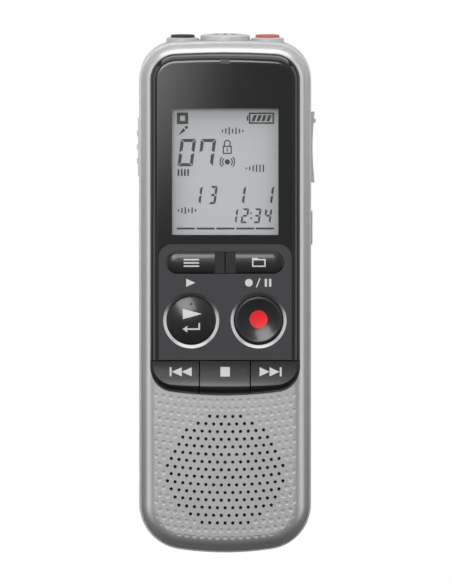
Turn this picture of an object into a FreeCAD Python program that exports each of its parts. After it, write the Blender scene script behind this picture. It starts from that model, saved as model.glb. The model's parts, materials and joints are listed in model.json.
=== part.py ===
"""Handheld voice recorder, lying on its back: X across, Y towards the microphone, Z towards the display."""

import FreeCAD
import Part
import Sketcher
import math
import os
from FreeCAD import Placement, Rotation, Vector

# ---------------------------------------------------------------- sizes, in millimetres and degrees

SIZES = {
    # Outer form, seen from the front
    "body_width": 38.1,
    "body_top": 56.8,
    "body_bottom": -56.8,
    "top_corner": 8.4,
    "bottom_corner": 10.2,
    "top_end_arc": 200.0,
    "bottom_end_arc": 68.0,
    # Outer form, through the thickness
    "front_room": 5.25,
    "front_depth": 4.0,
    "back_bevel": 3.6,
    "back_bevel_soften": 1.4,
    "face_bevel": 2.3,
    "face_bevel_soften": 0.9,
    "parting_step": 0.47,
    # Walls of the two shells and the lip that locates them
    "rear_wall": 1.3,
    "front_wall": 1.5,
    "lip_wall": 0.7,
    "lip_depth": 1.0,
    "fit_gap": 0.15,
    # Black front panel: outline, bevelled band and plateau
    "panel_side": 2.55,
    "panel_top": 54.4,
    "panel_bottom": -21.3,
    "panel_top_corner": 5.75,
    "panel_bottom_corner": 5.4,
    "panel_top_arc": 197.0,
    "panel_bottom_arc": 88.0,
    "panel_sink": 0.7,
    "band_drop": 0.1,
    "plateau_rise": 1.0,
    "plateau_side": 1.5,
    "plateau_top": 52.2,
    "plateau_bottom": -19.4,
    "plateau_top_corner": 4.0,
    "plateau_bottom_corner": 4.2,
    "plateau_top_arc": 195.0,
    "plateau_bottom_arc": 86.0,
    "panel_ledge": 1.2,
    "panel_gap": 0.08,
    # Inlaid lens and key plate
    "rim_width": 0.25,
    "inlay_depth": 0.75,
    "inlay_gap": 0.04,
    "key_plate_top": 11.8,
    "key_plate_corner": 2.2,
    "key_plate_drop": 0.05,
    "window_side": 2.7,
    "window_low": 13.4,
    "window_high": 42.9,
    # Keys: all travel straight down
    "key_travel": 0.3,
    "key_gap": 0.12,
    "key_flange": 0.8,
    "flange_sink": 1.0,
    "flange_wall": 0.7,
    "key_row_top": -13.7,
    "stop_left": -5.7,
    "stop_right": 5.6,
    "scoop_depth": 0.35,
    "record_shift": 0.1,
    "round_key_y": -4.8,
    "round_key_radius": 5.35,
    "round_key_sink": 0.15,
    "countersink_radius": 6.2,
    "countersink_depth": 0.5,
    "round_key_soften": 0.3,
    "crown_rise": 0.45,
    "dish_rim_rise": 0.15,
    "dish_fall": 0.45,
    "lug_width": 3.0,
    "dot_radius": 0.28,
    "dot_rise": 0.12,
    "dot_y": 3.66,
    "pill_y": 7.98,
    "pill_radius": 2.325,
    "pill_side": 2.13,
    "pill_flat": 2.3,
    "pill_flat_sink": 0.1,
    "pill_crown_rise": 0.3,
    "pill_edge_sink": 0.05,
    # Indicator at the top of the plateau
    "indicator_y": 52.4,
    "indicator_width": 2.0,
    "indicator_height": 0.85,
    "indicator_gap": 0.05,
    "indicator_sink": 0.05,
    # Loudspeaker and its grille of staggered, bowed rows
    "speaker_y": -38.2,
    "speaker_radius": 14.0,
    "grille_top": -26.2,
    "grille_pitch": 1.704,
    "grille_row_pitch": 1.69,
    "grille_bow": 86.0,
    "grille_hole": 0.75,
    # Side controls
    "side_key_height": 10.5,
    "side_key_depth": 4.6,
    "side_key_gap": 0.15,
    "side_flange": 0.8,
    "side_flange_wall": 0.8,
    "volume_y": 33.05,
    "volume_length": 15.5,
    "volume_proud": 0.8,
    "volume_valley": 0.33,
    "volume_end_gap": 0.3,
    "rocker_pin": 0.55,
    "nub_y": 38.9,
    "nub_radius": 0.45,
    "nub_rise": 0.25,
    "erase_y": 15.1,
    "erase_length": 7.2,
    "erase_proud": 0.32,
    "slider_y": 33.0,
    "slider_length": 12.8,
    "slider_proud": 0.27,
    "slider_depth": 0.95,
    "slider_travel": 1.5,
    "slider_rib": 1.0,
    "slider_rib_rise": 0.25,
    "slider_rib_pitch": 3.05,
    # Top end: two jacks and the microphone dome between them
    "top_axis_height": 10.0,
    "jack_clearance": 2.875,
    "jack_bore": 1.8,
    "jack_depth": 14.0,
    "jack_nose": 2.65,
    "jack_nose_gap": 0.1,
    "jack_mouth": 57.55,
    "jack_boss": 3.6,
    "jack_boss_top": 57.1,
    "jack_width": 6.0,
    "mic_seat": 56.4,
    "mic_bore": 3.7,
    "capsule_radius": 2.45,
    "capsule_length": 2.7,
    "capsule_depth": 3.2,
    "mic_boot_wall": 1.15,
    "mic_boot_length": 4.5,
    "mic_radius": 5.5,
    "mic_band": 1.0,
    "mic_dome": 1.9,
    "mic_wall": 0.5,
    "mic_crown": 4.3,
    "mic_slots": 10,
    "mic_slot_width": 0.75,
    "mic_slot_inner": 1.9,
    "mic_slot_outer": 3.9,
    # Battery bay, its lid and two AAA cells
    "cell_radius": 5.25,
    "cell_length": 43.3,
    "cell_nub": 0.9,
    "cell_nub_radius": 1.9,
    "cell_spacing": 11.1,
    "contact_thickness": 0.4,
    "contact_air": 0.3,
    "cell_gap": 0.3,
    "bay_low": -51.0,
    "bay_spare": 5.5,
    "bay_width": 22.4,
    "bay_wall": 1.0,
    "bay_ceiling": 0.9,
    "lid_thickness": 1.5,
    "lid_width": 23.8,
    "lid_tongue": 0.5,
    "lid_tongue_low": 0.75,
    "lid_gap": 0.1,
    "lid_overlap": 2.3,
    "lid_end_height": 6.0,
    "lid_grip_pitch": 1.3,
    # Boards and electronics
    "board_thickness": 1.0,
    "board_gap": 0.25,
    "board_side": 1.45,
    "board_end": 2.1,
    "board_bottom": -22.6,
    "lcd_side": 1.3,
    "lcd_low": 12.2,
    "lcd_high": 44.4,
    "lcd_thickness": 1.8,
    "lcd_frame_wall": 0.7,
    "lcd_sink": 0.2,
    "lcd_fit": 0.1,
    "strip_width": 1.2,
    "chip_height": 1.2,
    "crystal_radius": 1.1,
    "dome_radius": 2.0,
    "dome_height": 0.3,
    "mat_side": 2.2,
    "mat_foot": 1.2,
    "mat_sheet": 0.6,
    "mat_air": 0.05,
    "lamp_height": 0.8,
    "switch_depth": 2.1,
    "switch_tip": 0.5,
    "switch_half": 2.2,
    "slide_switch_depth": 3.0,
    "speaker_air": 0.4,
    "speaker_rim": 0.8,
    "magnet_air": 0.2,
    "magnet_thickness": 1.4,
    "cone_thickness": 0.5,
    "screen_thickness": 0.2,
    "screen_air": 0.1,
    # Screws
    "screw_side": 4.05,
    "screw_end": 9.8,
    "screw_radius": 0.9,
    "screw_head": 1.6,
    "screw_head_height": 1.2,
    "screw_head_low": 1.5,
    "post_radius": 1.8,
    "post_clearance": 0.15,
}

# Grille holes in each row, from the display downwards
HOLES_PER_ROW = (5, 8, 11, 12, 13, 14, 15, 16, 15, 16, 15, 14, 13, 10, 7)

doc = FreeCAD.newDocument("voice_recorder")
sheet = doc.addObject("Spreadsheet::Sheet", "Sizes")
for row, (cell_name, cell_value) in enumerate(SIZES.items(), start=1):
    sheet.set(f"A{row}", cell_name)
    sheet.set(f"B{row}", str(cell_value))
    sheet.setAlias(f"B{row}", cell_name)
doc.recompute()


class Size(float):
    """A length that carries the sheet formula it was worked out with."""

    def __new__(cls, value, text=None):
        size = float.__new__(cls, value)
        size.formula = text
        return size

    @property
    def text(self):
        return self.formula or f"({float(self):.9g})"

    def __add__(self, other):
        return combine(self, "+", other, float(self) + float(other))

    def __radd__(self, other):
        return combine(other, "+", self, float(other) + float(self))

    def __sub__(self, other):
        return combine(self, "-", other, float(self) - float(other))

    def __rsub__(self, other):
        return combine(other, "-", self, float(other) - float(self))

    def __mul__(self, other):
        return combine(self, "*", other, float(self) * float(other))

    def __rmul__(self, other):
        return combine(other, "*", self, float(other) * float(self))

    def __truediv__(self, other):
        return combine(self, "/", other, float(self) / float(other))

    def __neg__(self):
        return combine(Size(0.0), "-", self, -float(self))


def combine(left, sign, right, value):
    parts = [side if isinstance(side, Size) else Size(side) for side in (left, right)]
    if not any(part.formula for part in parts):
        return Size(value)
    return Size(value, f"({parts[0].text} {sign} {parts[1].text})")


class Dimensions:
    """The sheet's cells as attributes."""

    def __init__(self, sizes):
        for name, value in sizes.items():
            setattr(self, name, Size(value, f"Sizes.{name}"))


d = Dimensions(SIZES)
ZERO = Size(0.0)

# ---------------------------------------------------------------- sketches

ORIGIN = (-1, 1)
START, END, CENTRE = range(1, 4)


def bind(thing, **sizes):
    """Sets properties of an object and ties them to their formulas."""
    for name, size in sizes.items():
        setattr(thing, name, float(size))
        if isinstance(size, Size) and size.formula:
            thing.setExpression(name, size.text)


def place(thing, x, y, z, rotation=None):
    thing.Placement = Placement(Vector(float(x), float(y), float(z)), rotation or Rotation())
    for axis, size in (("x", x), ("y", y), ("z", z)):
        if isinstance(size, Size) and size.formula:
            thing.setExpression(f"Placement.Base.{axis}", size.text)


def constrain(sketch, rows):
    """Adds constraints; a row that ends in a Size is tied to its formula."""
    first = sketch.ConstraintCount
    plain = [[float(part) if isinstance(part, Size) else part for part in row] for row in rows]
    sketch.addConstraint([Sketcher.Constraint(*row) for row in plain])
    for index, row in enumerate(rows, start=first):
        if isinstance(row[-1], Size) and row[-1].formula:
            sketch.setExpression(f"Constraints[{index}]", row[-1].text)


def pinned(geometry, vertex, x, y):
    """Constraint rows that hold a vertex at a place."""
    return [
        ("DistanceX", *ORIGIN, geometry, vertex, Size(x, getattr(x, "formula", None))),
        ("DistanceY", *ORIGIN, geometry, vertex, Size(y, getattr(y, "formula", None))),
    ]


def line(start, end):
    return Part.LineSegment(Vector(*map(float, start), 0), Vector(*map(float, end), 0))


def arc(centre, radius, start, end):
    circle = Part.Circle(Vector(*map(float, centre), 0), Vector(0, 0, 1), float(radius))
    return Part.ArcOfCircle(circle, start, end)


def polygon(sketch, points):
    """A straight-sided closed outline, each corner held at its place."""
    first = sketch.GeometryCount
    count = len(points)
    sketch.addGeometry([line(points[k], points[(k + 1) % count]) for k in range(count)], False)
    rows = [("Coincident", first + k, END, first + (k + 1) % count, START) for k in range(count)]
    for k, (x, y) in enumerate(points):
        rows += pinned(first + k, START, x, y)
    constrain(sketch, rows)


def rectangle(sketch, left, right, low, high):
    polygon(sketch, [(left, low), (right, low), (right, high), (left, high)])


def circles(sketch, places, radius):
    """Equal circles at the given places."""
    first = sketch.GeometryCount
    up = Vector(0, 0, 1)
    rings = [Part.Circle(Vector(float(x), float(y), 0), up, float(radius)) for x, y in places]
    sketch.addGeometry(rings, False)
    rows = [("Radius", first, radius)]
    rows += [("Equal", first, first + k) for k in range(1, len(places))]
    for k, (x, y) in enumerate(places):
        rows += pinned(first + k, CENTRE, x, y)
    constrain(sketch, rows)


def joined(first, count):
    """Constraint rows that join a closed run of lines and arcs smoothly."""
    return [("Tangent", first + k, END, first + (k + 1) % count, START) for k in range(count)]


def pill(sketch, left, right, y, radius):
    """A slot outline from one round end to the other."""
    first = sketch.GeometryCount
    x_left, x_right = left + radius, right - radius
    half_turn = math.pi / 2
    sketch.addGeometry([
        line((x_left, y - radius), (x_right, y - radius)),
        arc((x_right, y), radius, -half_turn, half_turn),
        line((x_right, y + radius), (x_left, y + radius)),
        arc((x_left, y), radius, half_turn, 3 * half_turn),
    ], False)
    rows = joined(first, 4)
    rows += pinned(first + 1, CENTRE, x_right, y) + pinned(first + 3, CENTRE, x_left, y)
    rows.append(("Radius", first + 1, radius))
    constrain(sketch, rows)


def half_pill(sketch, flat, tip, y, radius):
    """One end of a slot outline, cut off square at `flat`; the tip may point either way."""
    first = sketch.GeometryCount
    quarter = math.pi / 2
    if tip < flat:
        middle = tip + radius
        shapes = [
            line((flat, y + radius), (middle, y + radius)),
            arc((middle, y), radius, quarter, 3 * quarter),
            line((middle, y - radius), (flat, y - radius)),
            line((flat, y - radius), (flat, y + radius)),
        ]
    else:
        middle = tip - radius
        shapes = [
            line((flat, y - radius), (middle, y - radius)),
            arc((middle, y), radius, -quarter, quarter),
            line((middle, y + radius), (flat, y + radius)),
            line((flat, y + radius), (flat, y - radius)),
        ]
    sketch.addGeometry(shapes, False)
    rows = [
        ("Tangent", first, END, first + 1, START),
        ("Tangent", first + 1, END, first + 2, START),
        ("Coincident", first + 2, END, first + 3, START),
        ("Coincident", first + 3, END, first, START),
        ("Vertical", first + 3),
        ("Horizontal", first),
        ("DistanceX", *ORIGIN, first, START, flat),
        ("Radius", first + 1, radius),
    ]
    rows += pinned(first + 1, CENTRE, middle, y)
    constrain(sketch, rows)


class Outline:
    """Straight sides, four corner arcs and two bowed ends, all tangent."""

    def __init__(self, half, top, bottom, top_corner, bottom_corner, top_arc, bottom_arc):
        self.half, self.top, self.bottom = half, top, bottom
        self.top_corner, self.bottom_corner = top_corner, bottom_corner
        self.top_arc, self.bottom_arc = top_arc, bottom_arc

    def inset(self, amount):
        return Outline(
            self.half - amount, self.top - amount, self.bottom + amount,
            self.top_corner - amount, self.bottom_corner - amount,
            self.top_arc - amount, self.bottom_arc - amount,
        )


def draw_cavity(sketch, o, amount):
    """A straight-sided inside of an outline, cut across its corners, at least the amount in from it."""
    half, top, bottom = o.half - amount, o.top - amount, o.bottom + amount + 1
    flat = 2 - math.sqrt(2)
    high, low = (o.top_corner - amount) * flat, (o.bottom_corner - amount) * flat
    polygon(sketch, [
        (half, bottom + low), (half, top - high), (half - high, top), (-half + high, top),
        (-half, top - high), (-half, bottom + low), (-half + low, bottom), (half - low, bottom),
    ])


def corner_reach(half, end_arc, corner):
    """How far a corner arc's centre lies from the end arc's centre, along the length."""
    return math.sqrt(float(end_arc - corner) ** 2 - float(half - corner) ** 2)


def draw_outline(sketch, o):
    first = sketch.GeometryCount
    top_reach = corner_reach(o.half, o.top_arc, o.top_corner)
    bottom_reach = corner_reach(o.half, o.bottom_arc, o.bottom_corner)
    top_turn = math.atan2(top_reach, float(o.half - o.top_corner))
    bottom_turn = math.atan2(bottom_reach, float(o.half - o.bottom_corner))
    top_x, top_y = o.half - o.top_corner, o.top - o.top_arc + top_reach
    low_x, low_y = o.half - o.bottom_corner, o.bottom + o.bottom_arc - bottom_reach
    turn = math.pi
    sketch.addGeometry([
        line((o.half, low_y), (o.half, top_y)),
        arc((top_x, top_y), o.top_corner, 0, top_turn),
        arc((0, o.top - o.top_arc), o.top_arc, top_turn, turn - top_turn),
        arc((-top_x, top_y), o.top_corner, turn - top_turn, turn),
        line((-o.half, top_y), (-o.half, low_y)),
        arc((-low_x, low_y), o.bottom_corner, turn, turn + bottom_turn),
        arc((0, o.bottom + o.bottom_arc), o.bottom_arc, turn + bottom_turn, 2 * turn - bottom_turn),
        arc((low_x, low_y), o.bottom_corner, -bottom_turn, 0),
    ], False)
    rows = joined(first, 8)
    rows += [
        ("Vertical", first),
        ("Vertical", first + 4),
        ("DistanceX", *ORIGIN, first, START, o.half),
        ("DistanceX", *ORIGIN, first + 4, START, -o.half),
        ("Radius", first + 1, o.top_corner),
        ("Equal", first + 1, first + 3),
        ("Radius", first + 5, o.bottom_corner),
        ("Equal", first + 5, first + 7),
        ("Radius", first + 2, o.top_arc),
        ("Radius", first + 6, o.bottom_arc),
    ]
    rows += pinned(first + 2, CENTRE, ZERO, o.top - o.top_arc)
    rows += pinned(first + 6, CENTRE, ZERO, o.bottom + o.bottom_arc)
    constrain(sketch, rows)


# ---------------------------------------------------------------- heights and outlines that pieces share

half_width = d.body_width / 2
cell_axis = d.lid_thickness + d.cell_gap + d.cell_radius
bay_roof = cell_axis + d.cell_radius + d.cell_gap
bay_top = bay_roof + d.bay_ceiling
board_low = bay_top + d.board_gap
board_high = board_low + d.board_thickness
face_height = board_high + d.front_room
parting_height = face_height - d.front_depth
front_ceiling = face_height - d.front_wall
panel_seat = face_height - d.panel_sink
band_edge = face_height - d.band_drop
plateau_height = face_height + d.plateau_rise
inlay_floor = plateau_height - d.inlay_depth
flange_top = panel_seat - d.flange_sink
flange_bottom = flange_top - d.flange_wall
round_key_rim = plateau_height - d.round_key_sink
dish_rim = plateau_height + d.dish_rim_rise
pill_flat_top = plateau_height - d.pill_flat_sink
pill_crown = plateau_height + d.pill_crown_rise
pill_edge = plateau_height - d.pill_edge_sink
indicator_top = plateau_height - d.indicator_sink

body_outline = Outline(
    d.body_width / 2, d.body_top, d.body_bottom,
    d.top_corner, d.bottom_corner, d.top_end_arc, d.bottom_end_arc,
)
front_outline = body_outline.inset(d.parting_step)
panel_outline = Outline(
    half_width - d.panel_side, d.panel_top, d.panel_bottom,
    d.panel_top_corner, d.panel_bottom_corner, d.panel_top_arc, d.panel_bottom_arc,
)
plateau_outline = Outline(
    half_width - d.panel_side - d.plateau_side, d.plateau_top, d.plateau_bottom,
    d.plateau_top_corner, d.plateau_bottom_corner, d.plateau_top_arc, d.plateau_bottom_arc,
)

play_x = -plateau_outline.half / 2
record_x = plateau_outline.half / 2 - d.record_shift
pill_reach = plateau_outline.half - d.pill_side
jack_x = (half_width + d.mic_radius) / 2 - d.jack_clearance
bay_high = d.bay_low + d.cell_length + d.cell_nub + d.bay_spare
lid_high = bay_high + d.lid_overlap
bay_half = d.bay_width / 2
lid_half = d.lid_width / 2
slot_half = lid_half + d.lid_tongue
side_low = d.side_key_height - d.side_key_depth / 2
side_high = d.side_key_height + d.side_key_depth / 2
side_inner = half_width - d.rear_wall
board_half = side_inner - d.board_side
board_top = d.body_top - d.rear_wall - d.board_end
screw_x = half_width - d.screw_side
screw_y = d.body_top - d.screw_end
screw_places = [(-screw_x, screw_y), (screw_x, screw_y)]

# ---------------------------------------------------------------- solid features

XY, XZ, YZ = "XY_Plane", "XZ_Plane", "YZ_Plane"
nodes = []


def new_body(label):
    body = doc.addObject("PartDesign::Body", label)
    body.Label = label
    nodes.append(body)
    return body


def new_sketch(body, plane, offset=ZERO):
    sketch = body.newObject("Sketcher::SketchObject", f"{body.Name}_sketch")
    support = next(feature for feature in body.Origin.OriginFeatures if feature.Role == plane)
    sketch.AttachmentSupport = [(support, "")]
    sketch.MapMode = "FlatFace"
    sketch.AttachmentOffset = Placement(Vector(0, 0, float(offset)), Rotation())
    if offset.formula:
        sketch.setExpression("AttachmentOffset.Base.z", offset.text)
    return sketch


def as_size(value):
    return value if isinstance(value, Size) else Size(value)


def add(body, plane, low, high, draw):
    """Pads a drawn profile between two coordinates along the plane's own axis."""
    low, high = as_size(low), as_size(high)
    # The XZ plane looks along -Y, so its pads run from the high side to the low one.
    sketch = new_sketch(body, plane, -high if plane == XZ else low)
    draw(sketch)
    feature = body.newObject("PartDesign::Pad", f"{body.Name}_pad")
    feature.Profile = sketch
    bind(feature, Length=high - low)
    return feature


def cut(body, plane, low, high, draw):
    """Pockets a drawn profile between two coordinates along the plane's own axis."""
    low, high = as_size(low), as_size(high)
    sketch = new_sketch(body, plane, -low if plane == XZ else high)
    draw(sketch)
    feature = body.newObject("PartDesign::Pocket", f"{body.Name}_pocket")
    feature.Profile = sketch
    bind(feature, Length=high - low)
    return feature


def revolve(body, points):
    """Turns a profile of (radius, height) points about the body's Z axis."""
    sketch = new_sketch(body, XZ)
    polygon(sketch, points)
    feature = body.newObject("PartDesign::Revolution", f"{body.Name}_turned")
    feature.Profile = sketch
    feature.ReferenceAxis = (sketch, ["V_Axis"])
    return feature


def soften(body, feature, heights, kind, size):
    """Fillets or chamfers every edge that lies level at one of the heights."""
    doc.recompute()
    names = [
        f"Edge{k}" for k, edge in enumerate(feature.Shape.Edges, start=1)
        if any(max(abs(v.Z - float(height)) for v in edge.Vertexes) < 1e-4 for height in heights)
    ]
    softened = body.newObject(f"PartDesign::{kind}", f"{body.Name}_{kind.lower()}")
    softened.Base = (feature, names)
    bind(softened, **{"Radius" if kind == "Fillet" else "Size": size})
    return softened


def block(name, x, y, z):
    """A box from (low, high) pairs."""
    box = doc.addObject("Part::Box", name)
    bind(box, Length=x[1] - x[0], Width=y[1] - y[0], Height=z[1] - z[0])
    place(box, x[0], y[0], z[0])
    return box


ALONG = {"x": Rotation(Vector(0, 1, 0), 90), "y": Rotation(Vector(1, 0, 0), -90), "z": Rotation()}


def rod(name, radius, x, y, z, length, axis="z", sides=0):
    """A cylinder that starts at a place and runs along an axis, or a many-sided rod."""
    if sides:
        solid = doc.addObject("Part::Prism", name)
        solid.Polygon = sides
        bind(solid, Circumradius=radius, Height=length)
    else:
        solid = doc.addObject("Part::Cylinder", name)
        bind(solid, Radius=radius, Height=length)
    place(solid, x, y, z, ALONG[axis])
    return solid


def joined_solid(label, pieces):
    solid = doc.addObject("Part::MultiFuse", label)
    solid.Shapes = pieces
    solid.Refine = True
    return solid


def less(label, base, tool):
    solid = doc.addObject("Part::Cut", label)
    solid.Base = base
    solid.Tool = tool
    return solid


def group(label, pieces):
    """Several equal pieces kept as separate solids of one node."""
    compound = doc.addObject("Part::Compound", label)
    compound.Links = pieces
    return compound


def keep(thing, label):
    thing.Label = label
    nodes.append(thing)
    return thing


# ---------------------------------------------------------------- rods with few sides, and overruns

HIDDEN_SIDES = 16
CELL_SIDES = 24
GRILLE_SIDES = 4
HOLE_OVERRUN = 0.5

# ---------------------------------------------------------------- shells


def rear_blank(body):
    """The rear half's outside, still solid, with its bevelled and softened back edge."""
    blank = add(body, XY, ZERO, parting_height, lambda sketch: draw_outline(sketch, body_outline))
    bevel = soften(body, blank, [ZERO], "Chamfer", d.back_bevel)
    return soften(body, bevel, [ZERO, d.back_bevel], "Chamfer", d.back_bevel_soften)


def build_rear_shell():
    body = new_body("rear_shell")
    rear_blank(body)
    # The inside steps in where the back edge is bevelled, so the wall is nowhere thinner than stated
    shoulder = d.back_bevel + d.back_bevel_soften
    cut(body, XY, shoulder, parting_height, lambda s: draw_cavity(s, body_outline, d.rear_wall))
    cut(body, XY, d.rear_wall, shoulder,
        lambda s: draw_cavity(s, body_outline, d.back_bevel + d.rear_wall / 2))
    add_battery_bay(body)
    add_screw_posts(body)
    add_top_end(body)
    cut_side_openings(body)
    return body


def add_battery_bay(body):
    block_half = slot_half + 2 * d.lid_tongue
    block_low = d.bay_low - d.bay_wall
    block_high = lid_high + d.bay_wall
    add(body, XY, d.rear_wall / 2, bay_top,
        lambda s: rectangle(s, -block_half, block_half, block_low, block_high))
    cut(body, XY, ZERO, bay_roof, lambda s: rectangle(s, -bay_half, bay_half, d.bay_low, bay_high))
    # The lid's opening: a narrow mouth, a wider slot above it for the tongues, and the open lower end
    past_end = d.body_bottom - 1
    lid_stop = lid_high + d.lid_gap
    mouth = lid_half + d.lid_gap
    slot = slot_half + d.lid_gap
    slot_low = d.lid_tongue_low - d.lid_gap
    slot_high = d.lid_thickness + d.lid_gap
    cut(body, XY, ZERO, slot_low, lambda s: rectangle(s, -mouth, mouth, past_end, lid_stop))
    cut(body, XY, slot_low, slot_high, lambda s: rectangle(s, -slot, slot, past_end, lid_stop))
    cut(body, YZ, -mouth, mouth, lambda s: lid_end_sketch(s, past_end, ZERO, d.lid_gap))


def lid_end_sketch(sketch, outside, low, gap):
    """The lid's end wrap from the side: its wall leans inwards along the bevelled back edge."""
    wall = d.lid_thickness + gap
    inner = d.body_bottom + wall
    high = d.lid_end_height + gap
    foot = inner + d.back_bevel
    polygon(sketch, [
        (outside, low), (foot, low), (foot, wall),
        (inner, wall + d.back_bevel), (inner, high), (outside, high),
    ])


def squares(sketch, places, half):
    for x, y in places:
        rectangle(sketch, x - half, x + half, y - half, y + half)


def add_screw_posts(body):
    shoulder = d.back_bevel + d.back_bevel_soften
    head_seat = d.screw_head_low + d.screw_head_height
    add(body, XY, d.rear_wall, shoulder, lambda s: squares(s, screw_places, d.post_radius + 0.8))
    add(body, XY, shoulder, board_low, lambda s: squares(s, screw_places, d.post_radius))
    cut(body, XY, head_seat, board_low, lambda s: squares(s, screw_places, d.screw_radius + d.post_clearance))
    cut(body, XY, ZERO, head_seat, lambda s: circles(s, screw_places, d.screw_head + d.post_clearance))


def add_top_end(body):
    """Raised rings for the jacks, and the seat of the microphone dome."""
    wall_inside = d.body_top - d.rear_wall - 0.5
    jacks = [(side * jack_x, d.top_axis_height) for side in (-1, 1)]
    add(body, XZ, d.mic_seat, d.jack_boss_top, lambda s: circles(s, jacks, d.jack_boss))
    cut(body, XZ, wall_inside, d.jack_boss_top, lambda s: circles(s, jacks, d.jack_nose + d.jack_nose_gap))
    centre = [(ZERO, d.top_axis_height)]
    cut(body, XZ, d.mic_seat, d.jack_boss_top, lambda s: circles(s, centre, d.mic_radius + d.jack_nose_gap))
    cut(body, XZ, wall_inside, d.mic_seat, lambda s: squares(s, centre, d.mic_bore))


def cut_side_openings(body):
    outside = half_width + 1
    low, high = side_low - d.side_key_gap, side_high + d.side_key_gap
    reach = d.volume_length / 2 + d.volume_end_gap
    cut(body, YZ, side_inner - 1, outside,
        lambda s: rectangle(s, d.volume_y - reach, d.volume_y + reach, low, high))
    short = d.erase_length / 2 + d.side_key_gap
    cut(body, YZ, side_inner - 1, outside,
        lambda s: rectangle(s, d.erase_y - short, d.erase_y + short, low, high))
    # Recess for the sliding cap, and the slot its stem runs in
    recess = d.slider_length / 2 + d.slider_travel + d.side_key_gap
    recess_floor = half_width + d.slider_proud - d.slider_depth - d.side_key_gap
    cut(body, YZ, -outside, -recess_floor,
        lambda s: rectangle(s, d.slider_y - recess, d.slider_y + recess, low, high))
    slot = slider_stem_half() + d.slider_travel + d.side_key_gap
    stem_low = d.side_key_height - slider_stem_half() - d.side_key_gap
    stem_high = d.side_key_height + slider_stem_half() + d.side_key_gap
    cut(body, YZ, -outside, -side_inner + 1,
        lambda s: rectangle(s, d.slider_y - slot, d.slider_y + slot, stem_low, stem_high))


def build_front_shell():
    """The front tray is a body; its grille is a lattice of small prisms taken out of it."""
    body = doc.addObject("PartDesign::Body", "front_tray")
    blank = add(body, XY, parting_height, face_height, lambda s: draw_outline(s, front_outline))
    bevel = soften(body, blank, [face_height], "Chamfer", d.face_bevel)
    soften(body, bevel, [face_height, face_height - d.face_bevel], "Chamfer", d.face_bevel_soften)
    cut(body, XY, parting_height, front_ceiling, lambda s: draw_cavity(s, front_outline, d.front_wall))
    # Lip that drops inside the rear shell's wall
    lip = d.rear_wall + d.fit_gap
    add(body, XY, parting_height - d.lip_depth, parting_height + d.lip_depth,
        lambda s: (draw_cavity(s, body_outline, lip), draw_cavity(s, body_outline, lip + d.lip_wall)))
    # Opening for the panel, its ledge, and the deeper opening for the row of keys
    opening = panel_outline.inset(-d.panel_gap)
    cut(body, XY, panel_seat, face_height, lambda s: draw_outline(s, opening))
    cut(body, XY, front_ceiling, panel_seat, lambda s: draw_outline(s, panel_outline.inset(d.panel_ledge)))
    row = d.key_row_top + d.key_gap
    cut(body, XY, front_ceiling, panel_seat, lambda s: draw_lower_end(s, opening, row))
    # Clips round the speaker, and posts that the screws bite into
    ring = (d.speaker_radius + d.fit_gap) * math.sqrt(0.5) + d.post_radius / 2
    clips = [(across * ring, d.speaker_y + along * ring) for across in (-1, 1) for along in (-1, 1)]
    add(body, XY, front_ceiling - 2, front_ceiling, lambda s: squares(s, clips, d.post_radius / 2))
    add(body, XY, board_high, front_ceiling, lambda s: squares(s, screw_places, d.post_radius))
    holes = []
    for k, (x, y) in enumerate(grille_places()):
        depth = d.front_wall + 2 * HOLE_OVERRUN
        low = front_ceiling - HOLE_OVERRUN
        holes.append(rod(f"grille_hole_{k}", d.grille_hole / 2, x, y, low, depth, sides=GRILLE_SIDES))
    keep(less("front_shell", body, group("grille_holes", holes)), "front_shell")


def grille_places():
    """Hole centres: rows bow gently upwards at the sides, and alternate rows are staggered."""
    places = []
    for row, count in enumerate(HOLES_PER_ROW):
        for k in range(count):
            x = d.grille_pitch * (k - (count - 1) / 2)
            y = d.grille_top - d.grille_row_pitch * row + x * x / (2 * d.grille_bow)
            places.append((x, y))
    return places


def draw_lower_end(sketch, o, straight):
    """The lower end of an outline, closed by a straight line across it."""
    first = sketch.GeometryCount
    reach = corner_reach(o.half, o.bottom_arc, o.bottom_corner)
    turn = math.atan2(reach, float(o.half - o.bottom_corner))
    low_x, low_y = o.half - o.bottom_corner, o.bottom + o.bottom_arc - reach
    sketch.addGeometry([
        line((o.half, straight), (-o.half, straight)),
        line((-o.half, straight), (-o.half, low_y)),
        arc((-low_x, low_y), o.bottom_corner, math.pi, math.pi + turn),
        arc((0, o.bottom + o.bottom_arc), o.bottom_arc, math.pi + turn, 2 * math.pi - turn),
        arc((low_x, low_y), o.bottom_corner, -turn, 0),
        line((o.half, low_y), (o.half, straight)),
    ], False)
    rows = [("Coincident", first, END, first + 1, START), ("Coincident", first + 5, END, first, START)]
    rows += [("Tangent", first + k, END, first + k + 1, START) for k in range(1, 5)]
    rows += [
        ("Vertical", first + 1),
        ("Vertical", first + 5),
        ("Radius", first + 2, o.bottom_corner),
        ("Equal", first + 2, first + 4),
        ("Radius", first + 3, o.bottom_arc),
    ]
    rows += pinned(first, START, o.half, straight) + pinned(first, END, -o.half, straight)
    rows += pinned(first + 3, CENTRE, ZERO, o.bottom + o.bottom_arc)
    constrain(sketch, rows)


# ---------------------------------------------------------------- front panel, lens and key plate


def panel_blank(body, low):
    """The panel's full outside: an upright edge and a bevelled band up to the plateau."""
    add(body, XY, low, band_edge, lambda s: draw_outline(s, panel_outline))
    edge = new_sketch(body, XY, band_edge)
    draw_outline(edge, panel_outline)
    crest = new_sketch(body, XY, plateau_height)
    draw_outline(crest, plateau_outline)
    band = body.newObject("PartDesign::AdditiveLoft", f"{body.Name}_band")
    band.Profile = edge
    band.Sections = [crest]
    band.Ruled = True
    return band


def key_hole_sketch(sketch, gap):
    """The openings that the round and pill-shaped keys come up through."""
    circles(sketch, round_key_places(), d.round_key_radius + gap)
    pill(sketch, -pill_reach - gap, pill_reach + gap, d.pill_y, d.pill_radius + gap)


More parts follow.
